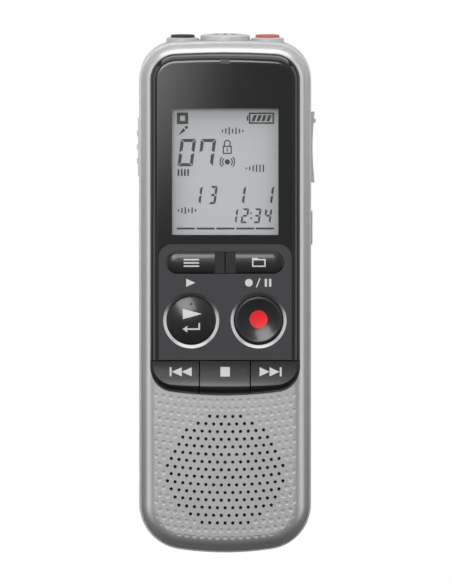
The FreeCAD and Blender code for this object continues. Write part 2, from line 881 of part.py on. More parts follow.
def round_key_places():
    return [(play_x, d.round_key_y), (record_x, d.round_key_y)]


def build_front_panel():
    body = new_body("front_panel")
    panel_blank(body, panel_seat)
    far = d.body_width
    row = d.key_row_top + d.key_gap / 2
    cut(body, XY, panel_seat, plateau_height,
        lambda s: rectangle(s, -far, far, d.panel_bottom - 1, row))
    inlay = plateau_outline.inset(d.rim_width)
    cut(body, XY, inlay_floor, plateau_height, lambda s: draw_outline(s, inlay))
    # Under the key plate the panel is open behind each pair of keys
    clear = 2 * d.key_gap
    reach = pill_reach + clear
    tall = d.round_key_radius + clear
    deep = d.pill_radius + clear
    cut(body, XY, panel_seat, inlay_floor,
        lambda s: rectangle(s, -reach, reach, d.round_key_y - tall, d.round_key_y + tall))
    cut(body, XY, panel_seat, inlay_floor,
        lambda s: rectangle(s, -reach, reach, d.pill_y - deep, d.pill_y + deep))
    window_half = plateau_outline.half - d.window_side
    cut(body, XY, panel_seat, inlay_floor,
        lambda s: rectangle(s, -window_half, window_half, d.window_low, d.window_high))
    cut(body, XY, panel_seat, plateau_height, lambda s: indicator_sketch(s, d.indicator_gap))
    return body


def indicator_sketch(sketch, gap):
    half = d.indicator_width / 2 + gap
    tall = d.indicator_height / 2 + gap
    rectangle(sketch, -half, half, d.indicator_y - tall, d.indicator_y + tall)


def draw_inlay_half(sketch, upper):
    """The lens's part of the inlay (upper) or the key plate's, which meet on a round-shouldered line."""
    o = plateau_outline.inset(d.rim_width + d.inlay_gap)
    gap = d.inlay_gap
    first = sketch.GeometryCount
    half = o.half
    shoulder = d.key_plate_corner + (gap if upper else 0)
    meet = d.key_plate_top + (gap if upper else 0)
    spring = d.key_plate_top - d.key_plate_corner
    quarter = math.pi / 2
    if upper:
        reach = corner_reach(half, o.top_arc, o.top_corner)
        turn = math.atan2(reach, float(half - o.top_corner))
        top_x, top_y = half - o.top_corner, o.top - o.top_arc + reach
        inner = half - d.key_plate_corner
        tip = math.acos(d.key_plate_corner / shoulder)
        tip_y = spring + shoulder * math.sin(tip)
        sketch.addGeometry([
            line((half, tip_y), (half, top_y)),
            arc((top_x, top_y), o.top_corner, 0, turn),
            arc((0, o.top - o.top_arc), o.top_arc, turn, math.pi - turn),
            arc((-top_x, top_y), o.top_corner, math.pi - turn, math.pi),
            line((-half, top_y), (-half, tip_y)),
            arc((-inner, spring), shoulder, quarter, math.pi - tip),
            line((-inner, meet), (inner, meet)),
            arc((inner, spring), shoulder, tip, quarter),
        ], False)
        rows = [("Tangent", first + k, END, first + k + 1, START) for k in range(4)]
        rows += [
            ("Vertical", first),
            ("Vertical", first + 4),
            ("Radius", first + 1, o.top_corner),
            ("Equal", first + 1, first + 3),
            ("Radius", first + 2, o.top_arc),
            ("Coincident", first + 4, END, first + 5, END),
            ("Tangent", first + 5, START, first + 6, START),
            ("Tangent", first + 6, END, first + 7, END),
            ("Coincident", first + 7, START, first, START),
            ("Radius", first + 7, shoulder),
            ("Equal", first + 5, first + 7),
            ("Horizontal", first + 6),
            ("DistanceY", *ORIGIN, first + 6, START, meet),
            ("DistanceX", *ORIGIN, first + 5, CENTRE, -inner),
            ("DistanceX", *ORIGIN, first + 7, CENTRE, inner),
            ("DistanceX", *ORIGIN, first, START, half),
            ("DistanceX", *ORIGIN, first + 4, END, -half),
        ]
        rows += pinned(first + 2, CENTRE, ZERO, o.top - o.top_arc)
        constrain(sketch, rows)
        return
    low = d.key_row_top + d.key_gap / 2
    inner = half - shoulder
    sketch.addGeometry([
        line((-half, low), (half, low)),
        line((half, low), (half, spring)),
        arc((inner, spring), shoulder, 0, quarter),
        line((inner, meet), (-inner, meet)),
        arc((-inner, spring), shoulder, quarter, 2 * quarter),
        line((-half, spring), (-half, low)),
    ], False)
    rows = [("Tangent", first + k, END, first + k + 1, START) for k in range(1, 5)]
    rows += [("Coincident", first + 5, END, first, START), ("Coincident", first, END, first + 1, START)]
    rows += [("Vertical", first + 1), ("Vertical", first + 5), ("Horizontal", first + 3)]
    rows += [("Radius", first + 2, shoulder), ("Equal", first + 2, first + 4)]
    rows += pinned(first, START, -half, low) + pinned(first, END, half, low)
    rows.append(("DistanceY", *ORIGIN, first + 3, START, meet))
    constrain(sketch, rows)


def build_display_lens():
    body = new_body("display_lens")
    add(body, XY, inlay_floor, plateau_height, lambda s: draw_inlay_half(s, True))
    return body


def build_key_plate():
    body = new_body("key_plate")
    top = plateau_height - d.key_plate_drop
    add(body, XY, inlay_floor, top, lambda s: draw_inlay_half(s, False))
    cut(body, XY, inlay_floor, top, lambda s: key_hole_sketch(s, d.key_gap))
    for x, y in round_key_places():
        sink_round_hole(body, x, y, top)
    return body


def sink_round_hole(body, x, y, top):
    """The conical dish that a round key sits in."""
    sketch = new_sketch(body, XZ, -y)
    inner = d.round_key_radius + d.key_gap
    low = top - d.countersink_depth
    polygon(sketch, [(x, low), (x + inner, low), (x + d.countersink_radius, top), (x, top)])
    feature = body.newObject("PartDesign::Groove", f"{body.Name}_sink")
    feature.Profile = sketch
    feature.ReferenceAxis = (sketch, ["Edge4"])
    return feature


# ---------------------------------------------------------------- keys on the front


def build_row_key(label, left, right):
    """One of three keys that together carry the panel's outline to its lower end."""
    body = new_body(label)
    # Each key's underside clears its seat by the travel; the flange below keeps it in
    panel_blank(body, flange_top)
    add(body, XY, flange_bottom, flange_top,
        lambda s: draw_lower_end(s, panel_outline.inset(-d.key_flange / 2), d.key_row_top - d.key_gap / 2))
    far = d.body_width
    base, crest = flange_bottom, plateau_height
    top = d.key_row_top - d.key_gap / 2
    cut(body, XY, base, crest, lambda s: rectangle(s, -far, far, top, d.panel_top + far))
    if left is not None:
        cut(body, XY, base, crest, lambda s: rectangle(s, -far, left, d.panel_bottom - far, top + 1))
    if right is not None:
        cut(body, XY, base, crest, lambda s: rectangle(s, right, far, d.panel_bottom - far, top + 1))
    cut(body, YZ, -far, far, draw_scoop)
    return body


def draw_scoop(sketch):
    """What a fingertip scoop takes off the key row: level at its upper edge, rising to the lower crest."""
    top = d.key_row_top
    crest, high = d.plateau_bottom, plateau_height
    low = high - d.scoop_depth
    run = float(top - crest)
    radius = (run ** 2 + float(d.scoop_depth) ** 2) / (2 * float(d.scoop_depth))
    turn = math.asin(run / radius)
    first = sketch.GeometryCount
    sketch.addGeometry([
        arc((top, float(low) + radius), radius, 1.5 * math.pi - turn, 1.5 * math.pi),
        line((top, low), (top, high + 1)),
        line((top, high + 1), (crest, high + 1)),
        line((crest, high + 1), (crest, high)),
    ], False)
    rows = [("Coincident", first + k, END, first + (k + 1) % 4, START) for k in range(4)]
    rows += pinned(first, START, crest, high) + pinned(first, END, top, low)
    rows += pinned(first + 2, START, top, high + 1) + pinned(first + 3, START, crest, high + 1)
    rows.append(("DistanceX", *ORIGIN, first, CENTRE, top))
    constrain(sketch, rows)


def build_round_key(label, x, rim, rise):
    """A turned key whose face is crowned (positive rise) or dished (negative), with lugs that keep it in."""
    body = new_body(label)
    radius, soft = d.round_key_radius, d.round_key_soften
    shoulder = radius - soft
    revolve(body, [
        (ZERO, flange_bottom), (radius, flange_bottom), (radius, rim - soft), (shoulder, rim),
        (shoulder / 2, rim + rise), (ZERO, rim + rise),
    ])
    reach, half = radius + d.key_flange, d.lug_width / 2
    add(body, XY, flange_bottom, flange_top, lambda s: rectangle(s, -half, half, -reach, reach))
    place(body, x, d.round_key_y, ZERO)
    return body


def regular(sketch, x, y, radius, sides):
    turns = [2 * math.pi * k / sides for k in range(sides)]
    polygon(sketch, [(x + radius * math.cos(a), y + radius * math.sin(a)) for a in turns])


def hexagon(sketch, x, y, radius):
    regular(sketch, x, y, radius, 6)


def many_sided(sketch, radius):
    regular(sketch, ZERO, ZERO, radius, CELL_SIDES)


def build_pill_key(label, side):
    """One half of the split pill: a low flat next to the split and a crowned cap beyond it."""
    body = new_body(label)
    flat, tip = side * d.key_gap / 2, side * pill_reach
    step = side * d.pill_flat
    shell = d.pill_radius + d.key_flange
    flange_tip = side * (pill_reach + d.key_flange)
    add(body, XY, flange_bottom, flange_top, lambda s: half_pill(s, flat, flange_tip, d.pill_y, shell))
    add(body, XY, flange_top, pill_flat_top, lambda s: half_pill(s, flat, tip, d.pill_y, d.pill_radius))
    add(body, XY, pill_flat_top, pill_crown, lambda s: half_pill(s, step, tip, d.pill_y, d.pill_radius))
    cut(body, YZ, -pill_reach - 1, pill_reach + 1, draw_pill_crown)
    return body


def draw_pill_crown(sketch):
    """What lies above the pill's cylindrical crown."""
    rise = float(pill_crown - pill_edge)
    half = float(d.pill_radius)
    radius = (half ** 2 + rise ** 2) / (2 * rise)
    turn = math.asin(half / radius)
    first = sketch.GeometryCount
    low, high = d.pill_y - d.pill_radius, d.pill_y + d.pill_radius
    over = pill_crown + 1
    sketch.addGeometry([
        arc((d.pill_y, float(pill_crown) - radius), radius, math.pi / 2 - turn, math.pi / 2 + turn),
        line((low, pill_edge), (low, over)),
        line((low, over), (high, over)),
        line((high, over), (high, pill_edge)),
    ], False)
    rows = [("Coincident", first + k, END, first + (k + 1) % 4, START) for k in range(4)]
    rows += pinned(first, START, high, pill_edge) + pinned(first, END, low, pill_edge)
    rows += pinned(first + 2, START, low, over) + pinned(first + 3, START, high, over)
    drop = radius_size(d.pill_radius, pill_crown - pill_edge)
    rows.append(("DistanceY", *ORIGIN, first, CENTRE, pill_crown - drop))
    constrain(sketch, rows)


def radius_size(half, rise):
    """Radius of an arc from its half chord and its rise."""
    return (half * half + rise * rise) / (rise * 2)


# ---------------------------------------------------------------- side controls


def slider_stem_half():
    return d.slider_rib


def side_flange(body, y_low, y_high):
    """The plate behind the wall that keeps a side key in."""
    back = side_flange_back()
    front = back + d.side_flange_wall
    edge = d.side_flange
    add(body, YZ, back, front,
        lambda s: rectangle(s, y_low - edge, y_high + edge, side_low - edge, side_high + edge))
    return front


def side_flange_back():
    return side_inner - d.side_flange_wall - 3 * d.side_key_gap


def build_volume_rocker():
    body = new_body("volume_rocker")
    half = d.volume_length / 2
    low, high = d.volume_y - half, d.volume_y + half
    front = side_flange(body, low, high)
    end_x, valley_x = half_width + d.volume_proud, half_width + d.volume_valley
    add(body, XY, side_low, side_high, lambda s: draw_rocker(s, front, end_x, valley_x, low, high))
    # Pivot pin across the back of the rocker
    pivot_x = front - d.side_flange_wall / 2
    add(body, XY, side_low - 2 * d.side_flange, side_high + d.side_flange,
        lambda s: circles(s, [(pivot_x, d.volume_y)], d.rocker_pin))
    add(body, YZ, valley_x, end_x + d.nub_rise,
        lambda s: hexagon(s, d.nub_y, d.side_key_height, d.nub_radius))
    return body


def draw_rocker(sketch, inner, end_x, valley_x, low, high):
    """Plan of the rocker: proud at both ends, hollow between them."""
    first = sketch.GeometryCount
    half, fall = (high - low) / 2, end_x - valley_x
    radius = radius_size(half, fall)
    turn = math.asin(float(half) / float(radius))
    centre = (valley_x + radius, (low + high) / 2)
    sketch.addGeometry([
        line((inner, high), (inner, low)),
        line((inner, low), (end_x, low)),
        arc(centre, radius, math.pi - turn, math.pi + turn),
        line((end_x, high), (inner, high)),
    ], False)
    rows = [
        ("Coincident", first, END, first + 1, START),
        ("Coincident", first + 1, END, first + 2, END),
        ("Coincident", first + 2, START, first + 3, START),
        ("Coincident", first + 3, END, first, START),
    ]
    rows += pinned(first, START, inner, high) + pinned(first, END, inner, low)
    rows += pinned(first + 1, END, end_x, low) + pinned(first + 3, START, end_x, high)
    rows.append(("DistanceX", *ORIGIN, first + 2, CENTRE, valley_x + radius))
    constrain(sketch, rows)


def build_erase_button():
    body = new_body("erase_button")
    half = d.erase_length / 2
    low, high = d.erase_y - half, d.erase_y + half
    front = side_flange(body, low, high)
    face = half_width + d.erase_proud
    add(body, YZ, front, face, lambda s: rectangle(s, low, high, side_low, side_high))
    return body


def build_power_slider():
    body = new_body("power_slider")
    half = d.slider_length / 2
    face = half_width + d.slider_proud
    inner = face - d.slider_depth
    add(body, YZ, -face, -inner,
        lambda s: rectangle(s, d.slider_y - half, d.slider_y + half, side_low, side_high))
    stem = slider_stem_half()
    height = d.side_key_height
    add(body, YZ, -inner, -switch_face() - d.side_key_gap,
        lambda s: rectangle(s, d.slider_y - stem, d.slider_y + stem, height - stem, height + stem))
    for k in (-1, 0, 1):
        middle = d.slider_y + d.slider_rib_pitch * k
        rib = d.slider_rib / 2
        add(body, YZ, -face - d.slider_rib_rise, -face,
            lambda s, middle=middle, rib=rib: rectangle(s, middle - rib, middle + rib, side_low, side_high))
    return body


def switch_face():
    """How far from the centre plane the side switches' faces stand."""
    return side_flange_back() - d.key_travel - d.side_key_gap


# ---------------------------------------------------------------- top end


def build_jack(label, x):
    """A jack: moulded housing, coloured nose through the end wall, and a blind bore."""
    body = new_body(label)
    half = d.jack_width / 2
    shoulder = d.body_top - d.rear_wall - 0.65 - d.jack_mouth
    back = -d.jack_depth - 1.5
    above = board_low - d.top_axis_height - d.jack_nose_gap / 2
    add(body, XZ, back, shoulder, lambda s: rectangle(s, -half, half, -half, above))
    add(body, XZ, shoulder, ZERO, lambda s: circles(s, [(ZERO, ZERO)], d.jack_nose))
    cut(body, XZ, -d.jack_depth, ZERO, lambda s: circles(s, [(ZERO, ZERO)], d.jack_bore))
    place(body, x, d.jack_mouth, d.top_axis_height)
    return body


def build_mic_cap():
    """The slotted dome over the microphone: a many-sided band, and a shoulder that leans in to the crown."""
    body = new_body("mic_cap")
    outer, band, top = d.mic_radius, d.mic_band, d.mic_dome
    lean = math.degrees(math.atan2(d.mic_radius - d.mic_crown, top - band))
    add(body, XY, ZERO, band, lambda s: many_sided(s, outer))
    shoulder = add(body, XY, band, top, lambda s: many_sided(s, outer))
    shoulder.TaperAngle = -lean
    cut(body, XY, ZERO, top - d.mic_wall, lambda s: many_sided(s, d.mic_crown - d.mic_wall / 2))
    half = d.mic_slot_width / 2
    slot = cut(body, XY, ZERO, top, lambda s: rectangle(s, d.mic_slot_inner, d.mic_slot_outer, -half, half))
    ring = body.newObject("PartDesign::PolarPattern", "mic_cap_slots")
    ring.Originals = [slot]
    ring.Axis = (slot.Profile[0], ["N_Axis"])
    ring.Angle = 360
    ring.Occurrences = int(d.mic_slots)
    body.Tip = ring
    place(body, ZERO, d.mic_seat, d.top_axis_height, ALONG["y"])
    return body


# ---------------------------------------------------------------- battery bay


def build_battery_lid():
    """The lid takes its outside from the rear shell's own form, and wraps up the lower end."""
    body = new_body("battery_lid")
    rear_blank(body)
    far = d.body_width
    thick = d.lid_thickness
    cut(body, YZ, -far, far, lambda s: lid_hollow_sketch(s, far))
    low = d.lid_tongue_low
    for side in (-1, 1):
        cut(body, XZ, d.body_bottom - 1, d.body_top + 1, lambda s, side=side: polygon(s, [
            (side * lid_half, -far), (side * lid_half, low), (side * slot_half, low),
            (side * slot_half, thick), (side * lid_half, thick), (side * lid_half, far),
            (side * far, far), (side * far, -far),
        ]))
    cut(body, XY, -far, far, lambda s: rectangle(s, -far, far, lid_high, far * 2))
    grip = lid_half / 2
    for k in range(5):
        y = lid_high - d.lid_grip_pitch * (k + 3)
        cut(body, XY, ZERO, d.lid_tongue_low / 2,
            lambda s, y=y: rectangle(s, -grip, grip, y, y + d.lid_grip_pitch / 2))
    return body


def lid_hollow_sketch(sketch, far):
    """Everything above the lid's plate and behind its end wrap, from the side."""
    wall, top = d.lid_thickness, d.lid_end_height
    inner = d.body_bottom + wall
    polygon(sketch, [
        (inner + d.back_bevel, wall), (far * 2, wall), (far * 2, far),
        (-far * 2, far), (-far * 2, top), (inner, top), (inner, wall + d.back_bevel),
    ])


def build_cell(label, side):
    """An AAA cell; the two lie head to tail."""
    x = side * d.cell_spacing / 2
    length = d.cell_length
    start = (d.bay_low + bay_high - length - d.cell_nub) / 2
    if side > 0:
        can_low, nub_low = start, start + length
    else:
        can_low, nub_low = start + d.cell_nub, start
    can = rod(f"{label}_can", d.cell_radius, x, can_low, cell_axis, length, "y", sides=CELL_SIDES)
    nub = rod(f"{label}_nub", d.cell_nub_radius, x, nub_low, cell_axis, d.cell_nub, "y", sides=HIDDEN_SIDES)
    return keep(joined_solid(label, [can, nub]), label)


def contact_plate(label, side, high_end):
    """A flat contact at one end of the bay, for one cell."""
    x = side * d.cell_spacing / 2
    half = d.cell_radius * 0.7
    wall = bay_high if high_end else d.bay_low
    inward = -1 if high_end else 1
    thick = d.contact_thickness
    y = (wall - thick, wall) if high_end else (wall, wall + thick)
    plate = block(f"{label}_plate", (x - half, x + half), y, (cell_axis - half, cell_axis + half))
    return plate, x, wall + inward * thick, inward


def build_contacts():
    # One cell's nub points up the bay, the other's down, so each end has one plate and one spring
    start = (d.bay_low + bay_high - d.cell_length - d.cell_nub) / 2
    reach = start - d.bay_low - d.contact_thickness - d.contact_air
    for label, high_end in (("terminal_contacts", True), ("bridge_contact", False)):
        pieces = []
        for side in (-1, 1):
            hand = "left" if side < 0 else "right"
            plate, x, face, inward = contact_plate(f"{label}_{hand}", side, high_end)
            pieces.append(plate)
            spring_end = (side < 0) == high_end
            radius = d.cell_nub_radius * (1.3 if spring_end else 0.7)
            low = face if inward > 0 else face - reach
            pieces.append(rod(f"{plate.Name}_post", radius, x, low, cell_axis, reach, "y", sides=8))
        if label == "bridge_contact":
            half = d.cell_radius * 0.5
            depth = (d.bay_low, d.bay_low + d.contact_thickness)
            pieces.append(block("bridge_strip", (-half, half), depth, (cell_axis - half, cell_axis + half)))
            keep(joined_solid(label, pieces), label)
        else:
            first = joined_solid("terminal_left", pieces[:2])
            second = joined_solid("terminal_right", pieces[2:])
            keep(group(label, [first, second]), label)


# ---------------------------------------------------------------- electronics


def build_main_board():
    body = new_body("main_board")
    half, top, bottom = board_half, board_top, d.board_bottom
    corner = d.top_corner * 0.6
    add(body, XY, board_low, board_high, lambda s: polygon(s, [
        (-half, bottom), (half, bottom), (half, top - corner), (half - corner, top),
        (-half + corner, top), (-half, top - corner),
    ]))
    cut(body, XY, board_low, board_high,
        lambda s: squares(s, screw_places, d.screw_radius + d.post_clearance))
    return body


def build_display():
    half = plateau_outline.half - d.lcd_side
    glass_high = panel_seat - d.lcd_sink
    glass_low = glass_high - d.lcd_thickness
    keep(block("lcd_glass", (-half, half), (d.lcd_low, d.lcd_high), (glass_low, glass_high)), "lcd_glass")
    gap, wall, rim = d.lcd_fit, d.lcd_frame_wall, d.strip_width / 2
    outer = block("frame_outer", (-half - wall, half + wall), (d.lcd_low - wall, d.lcd_high + wall),
                  (board_high, glass_high - d.lcd_sink))
    seat = block("frame_seat", (-half - gap, half + gap), (d.lcd_low - gap, d.lcd_high + gap),
                 (glass_low - gap / 2, glass_high))
    well = block("frame_well", (-half + rim, half - rim), (d.lcd_low + rim, d.lcd_high - rim),
                 (board_high - 1, glass_high))
    keep(less("lcd_frame", less("frame_body", outer, seat), well), "lcd_frame")
    strips = []
    far_rim = rim + gap + d.strip_width
    for k, (low, high) in enumerate((
        (d.lcd_low + rim + gap, d.lcd_low + far_rim), (d.lcd_high - far_rim, d.lcd_high - rim - gap),
    )):
        strips.append(block(f"strip_{k}", (-half + 2, half - 2), (low, high), (board_high, glass_low)))
    keep(group("zebra_strips", strips), "zebra_strips")


def build_chips():
    high, low = board_low, board_low - d.chip_height
    unit = board_half / 4
    keep(block("processor_chip", (-unit * 2, unit), (unit * 5, unit * 8), (low, high)), "processor_chip")
    keep(block("memory_chip", (-unit, unit * 2), (unit * 2, unit * 4), (low, high)), "memory_chip")
    keep(rod("clock_crystal", d.crystal_radius, unit * 2, unit * 6, board_low - d.crystal_radius,
             unit * 1.5, "y", sides=HIDDEN_SIDES), "clock_crystal")


def key_pads():
    """Centre and size of the rubber pad under each key."""
    row = (d.key_row_top + d.panel_bottom) / 2 + 0.6
    pill = pill_reach / 2
    return [
        (-pill, d.pill_y), (pill, d.pill_y),
        (play_x, d.round_key_y), (record_x, d.round_key_y),
        (-pill_reach + 2, row), (ZERO, row), (pill_reach - 2, row),
    ]


def build_key_mat():
    """Silicone sheet: a foot all round, and a pad under each key, shown pressed down to full travel."""
    body = new_body("key_mat")
    half, edge = board_half - d.mat_side, d.mat_sheet * 1.5
    low, high = d.board_bottom + edge, d.lcd_low - d.lcd_frame_wall - d.mat_sheet / 2
    foot_high = board_high + d.mat_foot
    pad_high = flange_bottom - d.key_travel - d.mat_air
    add(body, XY, board_high, foot_high, lambda s: rectangle(s, -half, half, low, high))
    cut(body, XY, board_high, foot_high - d.mat_sheet,
        lambda s: rectangle(s, -half + edge, half - edge, low + edge, high - edge))
    add(body, XY, foot_high, pad_high, lambda s: squares(s, key_pads(), d.lug_width / 2))
    return body


def build_key_domes():
    domes = [
        rod(f"dome_{k}", d.dome_radius, x, y, board_high, d.dome_height, sides=8)
        for k, (x, y) in enumerate(key_pads())
    ]
    keep(group("key_domes", domes), "key_domes")


def build_indicator():
    body = new_body("led_light_pipe")
    add(body, XY, board_high + 1, indicator_top, lambda s: indicator_sketch(s, ZERO))
    half = d.indicator_height
    keep(block("led_lamp", (-half, half), (d.indicator_y - half, d.indicator_y + half),
               (board_high, board_high + d.lamp_height)), "led_lamp")


def build_side_switches():
    """Tact switches under the board's edge, facing the side keys."""
    face = switch_face()
    front = face - d.switch_tip
    pieces = []
    arm, half = d.volume_length / 3, d.switch_half
    for k, y in enumerate((d.volume_y - arm, d.volume_y + arm, d.erase_y)):
        case = block(f"tact_{k}", (front - d.switch_depth, front), (y - half, y + half),
                     (side_low, board_low))
        tip = rod(f"tact_tip_{k}", half / 3, front, y, d.side_key_height, d.switch_tip, "x", sides=8)
        pieces.append(joined_solid(f"tact_switch_{k}", [case, tip]))
    keep(group("side_switches", pieces), "side_switches")
    half = d.slider_length / 3
    keep(block("slide_switch", (-face, -face + d.slide_switch_depth), (d.slider_y - half, d.slider_y + half),
               (side_low, board_low)), "slide_switch")


# ---------------------------------------------------------------- loudspeaker and microphone


def speaker_rod(name, radius, low, high):
    return rod(name, radius, ZERO, d.speaker_y, low, high - low, sides=HIDDEN_SIDES)


def build_speaker():
    radius = d.speaker_radius
    cone, basket = radius * 0.68, radius * 0.75
    top = front_ceiling - d.speaker_air
    flange = top - d.speaker_rim
    magnet_low = bay_top + d.magnet_air
    magnet_high = magnet_low + d.magnet_thickness
    cone_low = flange - d.screen_air
    chassis = joined_solid("speaker_chassis", [
        speaker_rod("speaker_rim", radius, flange, top),
        speaker_rod("speaker_basket", basket, magnet_high, flange),
    ])
    well = speaker_rod("speaker_well", cone + d.screen_air, magnet_high + d.speaker_rim, top + radius)
    keep(less("speaker_frame", chassis, well), "speaker_frame")
    keep(speaker_rod("speaker_magnet", radius / 2, magnet_low, magnet_high), "speaker_magnet")
    keep(speaker_rod("speaker_cone", cone, cone_low, cone_low + d.cone_thickness), "speaker_cone")
    screen_low = top + d.screen_air
    keep(speaker_rod("dust_screen", radius - d.speaker_air, screen_low, screen_low + d.screen_thickness),
         "dust_screen")


def mic_rod(name, radius, low, high):
    return rod(name, radius, ZERO, low, d.top_axis_height, high - low, "y", sides=HIDDEN_SIDES)


def build_microphone():
    front = d.mic_seat - d.contact_air
    low = front - d.mic_boot_length
    boot = mic_rod("mic_boot", d.capsule_radius + d.mic_boot_wall, low, front)
    hole = mic_rod("mic_boot_hole", d.capsule_radius + d.key_gap / 2, low - 1, front + 1)
    keep(less("mic_holder", boot, hole), "mic_holder")
    capsule_low = front - d.capsule_depth
    keep(mic_rod("mic_capsule", d.capsule_radius, capsule_low, capsule_low + d.capsule_length), "mic_capsule")


# ---------------------------------------------------------------- fasteners


def build_screws():
    screws = []
    low = d.screw_head_low
    shank_low = low + d.screw_head_height
    for k, (x, y) in enumerate(screw_places):
        head = rod(f"screw_head_{k}", d.screw_head, x, y, low, d.screw_head_height, sides=HIDDEN_SIDES)
        shank = rod(f"screw_shank_{k}", d.screw_radius, x, y, shank_low,
                    front_ceiling - 1 - shank_low, sides=8)
        screws.append(joined_solid(f"screw_{k}", [head, shank]))
    keep(group("case_screws", screws), "case_screws")


# ---------------------------------------------------------------- the whole recorder


def build_keys():
    split = d.key_gap / 2
    build_row_key("rewind_key", None, d.stop_left - split)
    build_row_key("stop_key", d.stop_left + split, d.stop_right - split)
    build_row_key("forward_key", d.stop_right + split, None)
    play = build_round_key("play_button", play_x, round_key_rim, d.crown_rise)
    dot_low = round_key_rim
    add(play, XY, dot_low, round_key_rim + d.crown_rise + d.dot_rise / 2,
        lambda s: hexagon(s, ZERO, d.dot_y, d.dot_radius))
    build_round_key("record_button", record_x, dish_rim, -d.dish_fall)
    build_pill_key("menu_button", -1)
    build_pill_key("folder_button", 1)


def build_all():
    build_rear_shell()
    build_front_shell()
    build_front_panel()
    build_display_lens()
    build_key_plate()
    build_keys()
    build_volume_rocker()
    build_erase_button()
    build_power_slider()
    build_jack("headphone_jack", -jack_x)
    build_jack("microphone_jack", jack_x)
    build_mic_cap()
    build_microphone()
    build_battery_lid()
    build_cell("battery_left", -1)
    build_cell("battery_right", 1)
    build_contacts()
    build_main_board()
    build_display()
    build_chips()
    build_key_mat()
    build_key_domes()
    build_indicator()
    build_side_switches()
    build_speaker()
    build_screws()


def check_and_write():
    doc.recompute()
    failed = [thing.Label for thing in doc.Objects if {"Invalid", "Error"} & set(thing.State)]
    if failed:
        raise SystemExit(f"failed features: {failed}")
    for node in nodes:
        shape = node.Shape
        if shape.isNull() or not shape.isValid() or not shape.Solids:
            raise SystemExit(f"bad shape: {node.Label}")
    os.makedirs("parts", exist_ok=True)
    for node in nodes:
        node.Shape.exportStep(os.path.join("parts", f"{node.Label}.step"))
        print(f"{node.Label}: {len(node.Shape.Solids)} solid(s), {node.Shape.Volume:.1f} mm3")


build_all()
check_and_write()
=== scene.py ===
import json
import math
from collections import namedtuple

import bmesh
import bpy
from mathutils import Matrix, Vector
from mathutils.bvhtree import BVHTree

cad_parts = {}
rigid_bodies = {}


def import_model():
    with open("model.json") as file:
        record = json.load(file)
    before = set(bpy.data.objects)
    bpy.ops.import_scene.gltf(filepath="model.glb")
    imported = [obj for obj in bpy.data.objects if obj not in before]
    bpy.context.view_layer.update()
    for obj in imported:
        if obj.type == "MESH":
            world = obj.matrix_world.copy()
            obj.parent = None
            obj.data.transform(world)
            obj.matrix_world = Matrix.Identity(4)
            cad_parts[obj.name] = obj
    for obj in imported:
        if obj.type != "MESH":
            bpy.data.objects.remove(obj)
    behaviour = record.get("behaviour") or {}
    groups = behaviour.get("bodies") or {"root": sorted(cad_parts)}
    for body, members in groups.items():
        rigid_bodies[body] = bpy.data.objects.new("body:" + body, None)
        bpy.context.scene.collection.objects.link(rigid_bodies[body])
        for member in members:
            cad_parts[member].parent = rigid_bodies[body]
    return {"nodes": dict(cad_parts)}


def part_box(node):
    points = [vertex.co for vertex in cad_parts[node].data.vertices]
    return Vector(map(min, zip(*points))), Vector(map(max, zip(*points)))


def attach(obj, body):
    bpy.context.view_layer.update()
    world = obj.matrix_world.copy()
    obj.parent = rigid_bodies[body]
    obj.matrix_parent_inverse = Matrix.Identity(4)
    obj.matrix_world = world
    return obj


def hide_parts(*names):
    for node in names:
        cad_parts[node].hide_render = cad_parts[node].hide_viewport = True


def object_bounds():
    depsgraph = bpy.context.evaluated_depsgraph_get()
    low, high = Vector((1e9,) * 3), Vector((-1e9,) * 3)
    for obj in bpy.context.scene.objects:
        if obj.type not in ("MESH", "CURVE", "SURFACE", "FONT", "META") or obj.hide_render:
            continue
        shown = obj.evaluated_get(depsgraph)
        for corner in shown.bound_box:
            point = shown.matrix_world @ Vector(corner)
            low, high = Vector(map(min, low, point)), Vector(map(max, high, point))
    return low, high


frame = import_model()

bl_info = {
    "name": "Voice recorder dresser",
    "version": (1, 0, 0),
    "blender": (4, 5, 0),
    "location": "3D View > Sidebar > Recorder",
    "description": "Dresses the packed voice recorder with smooth shells, inlays, keys and marks",
    "category": "Object",
}

CAD_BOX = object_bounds()
MM = 0.001
CASE = "case"

# ---------------------------------------------------------------- heights and places taken from the frame


def middle_x(node):
    """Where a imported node's middle lies across the recorder."""
    low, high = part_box(node)
    return (low.x + high.x) / 2


def half_width(node):
    """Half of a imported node's width, which is a round key's radius."""
    low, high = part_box(node)
    return (high.x - low.x) / 2


PLATE_LOW, PLATE_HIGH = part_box("key_plate")
MENU_LOW, MENU_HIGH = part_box("menu_button")
MIC_LOW, MIC_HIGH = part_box("mic_cap")

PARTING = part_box("rear_shell")[1].z
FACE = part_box("front_shell")[1].z
PANEL_SEAT, PLATEAU = (corner.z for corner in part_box("front_panel"))
INLAY_FLOOR, PLATE_TOP = PLATE_LOW.z, PLATE_HIGH.z
ROW_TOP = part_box("stop_key")[1].y
ROUND_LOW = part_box("play_button")[0].z
PLAY_X, RECORD_X = middle_x("play_button"), middle_x("record_button")
JACK_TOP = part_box("headphone_jack")[1].y
END_AXIS = (MIC_LOW.z + MIC_HIGH.z) / 2

# ---------------------------------------------------------------- outlines

Outline = namedtuple("Outline", "half top bottom top_corner bottom_corner top_arc bottom_arc")

BODY = Outline(19.05 * MM, 56.8 * MM, -56.8 * MM, 8.4 * MM, 10.2 * MM, 0.200, 0.068)
PANEL = Outline(16.5 * MM, 54.4 * MM, -21.3 * MM, 5.75 * MM, 5.4 * MM, 0.197, 0.088)
PLATEAU_EDGE = Outline(15 * MM, 52.2 * MM, -19.4 * MM, 4 * MM, 4.2 * MM, 0.195, 0.086)
CORNER_STEPS = 16
END_STEPS = 14


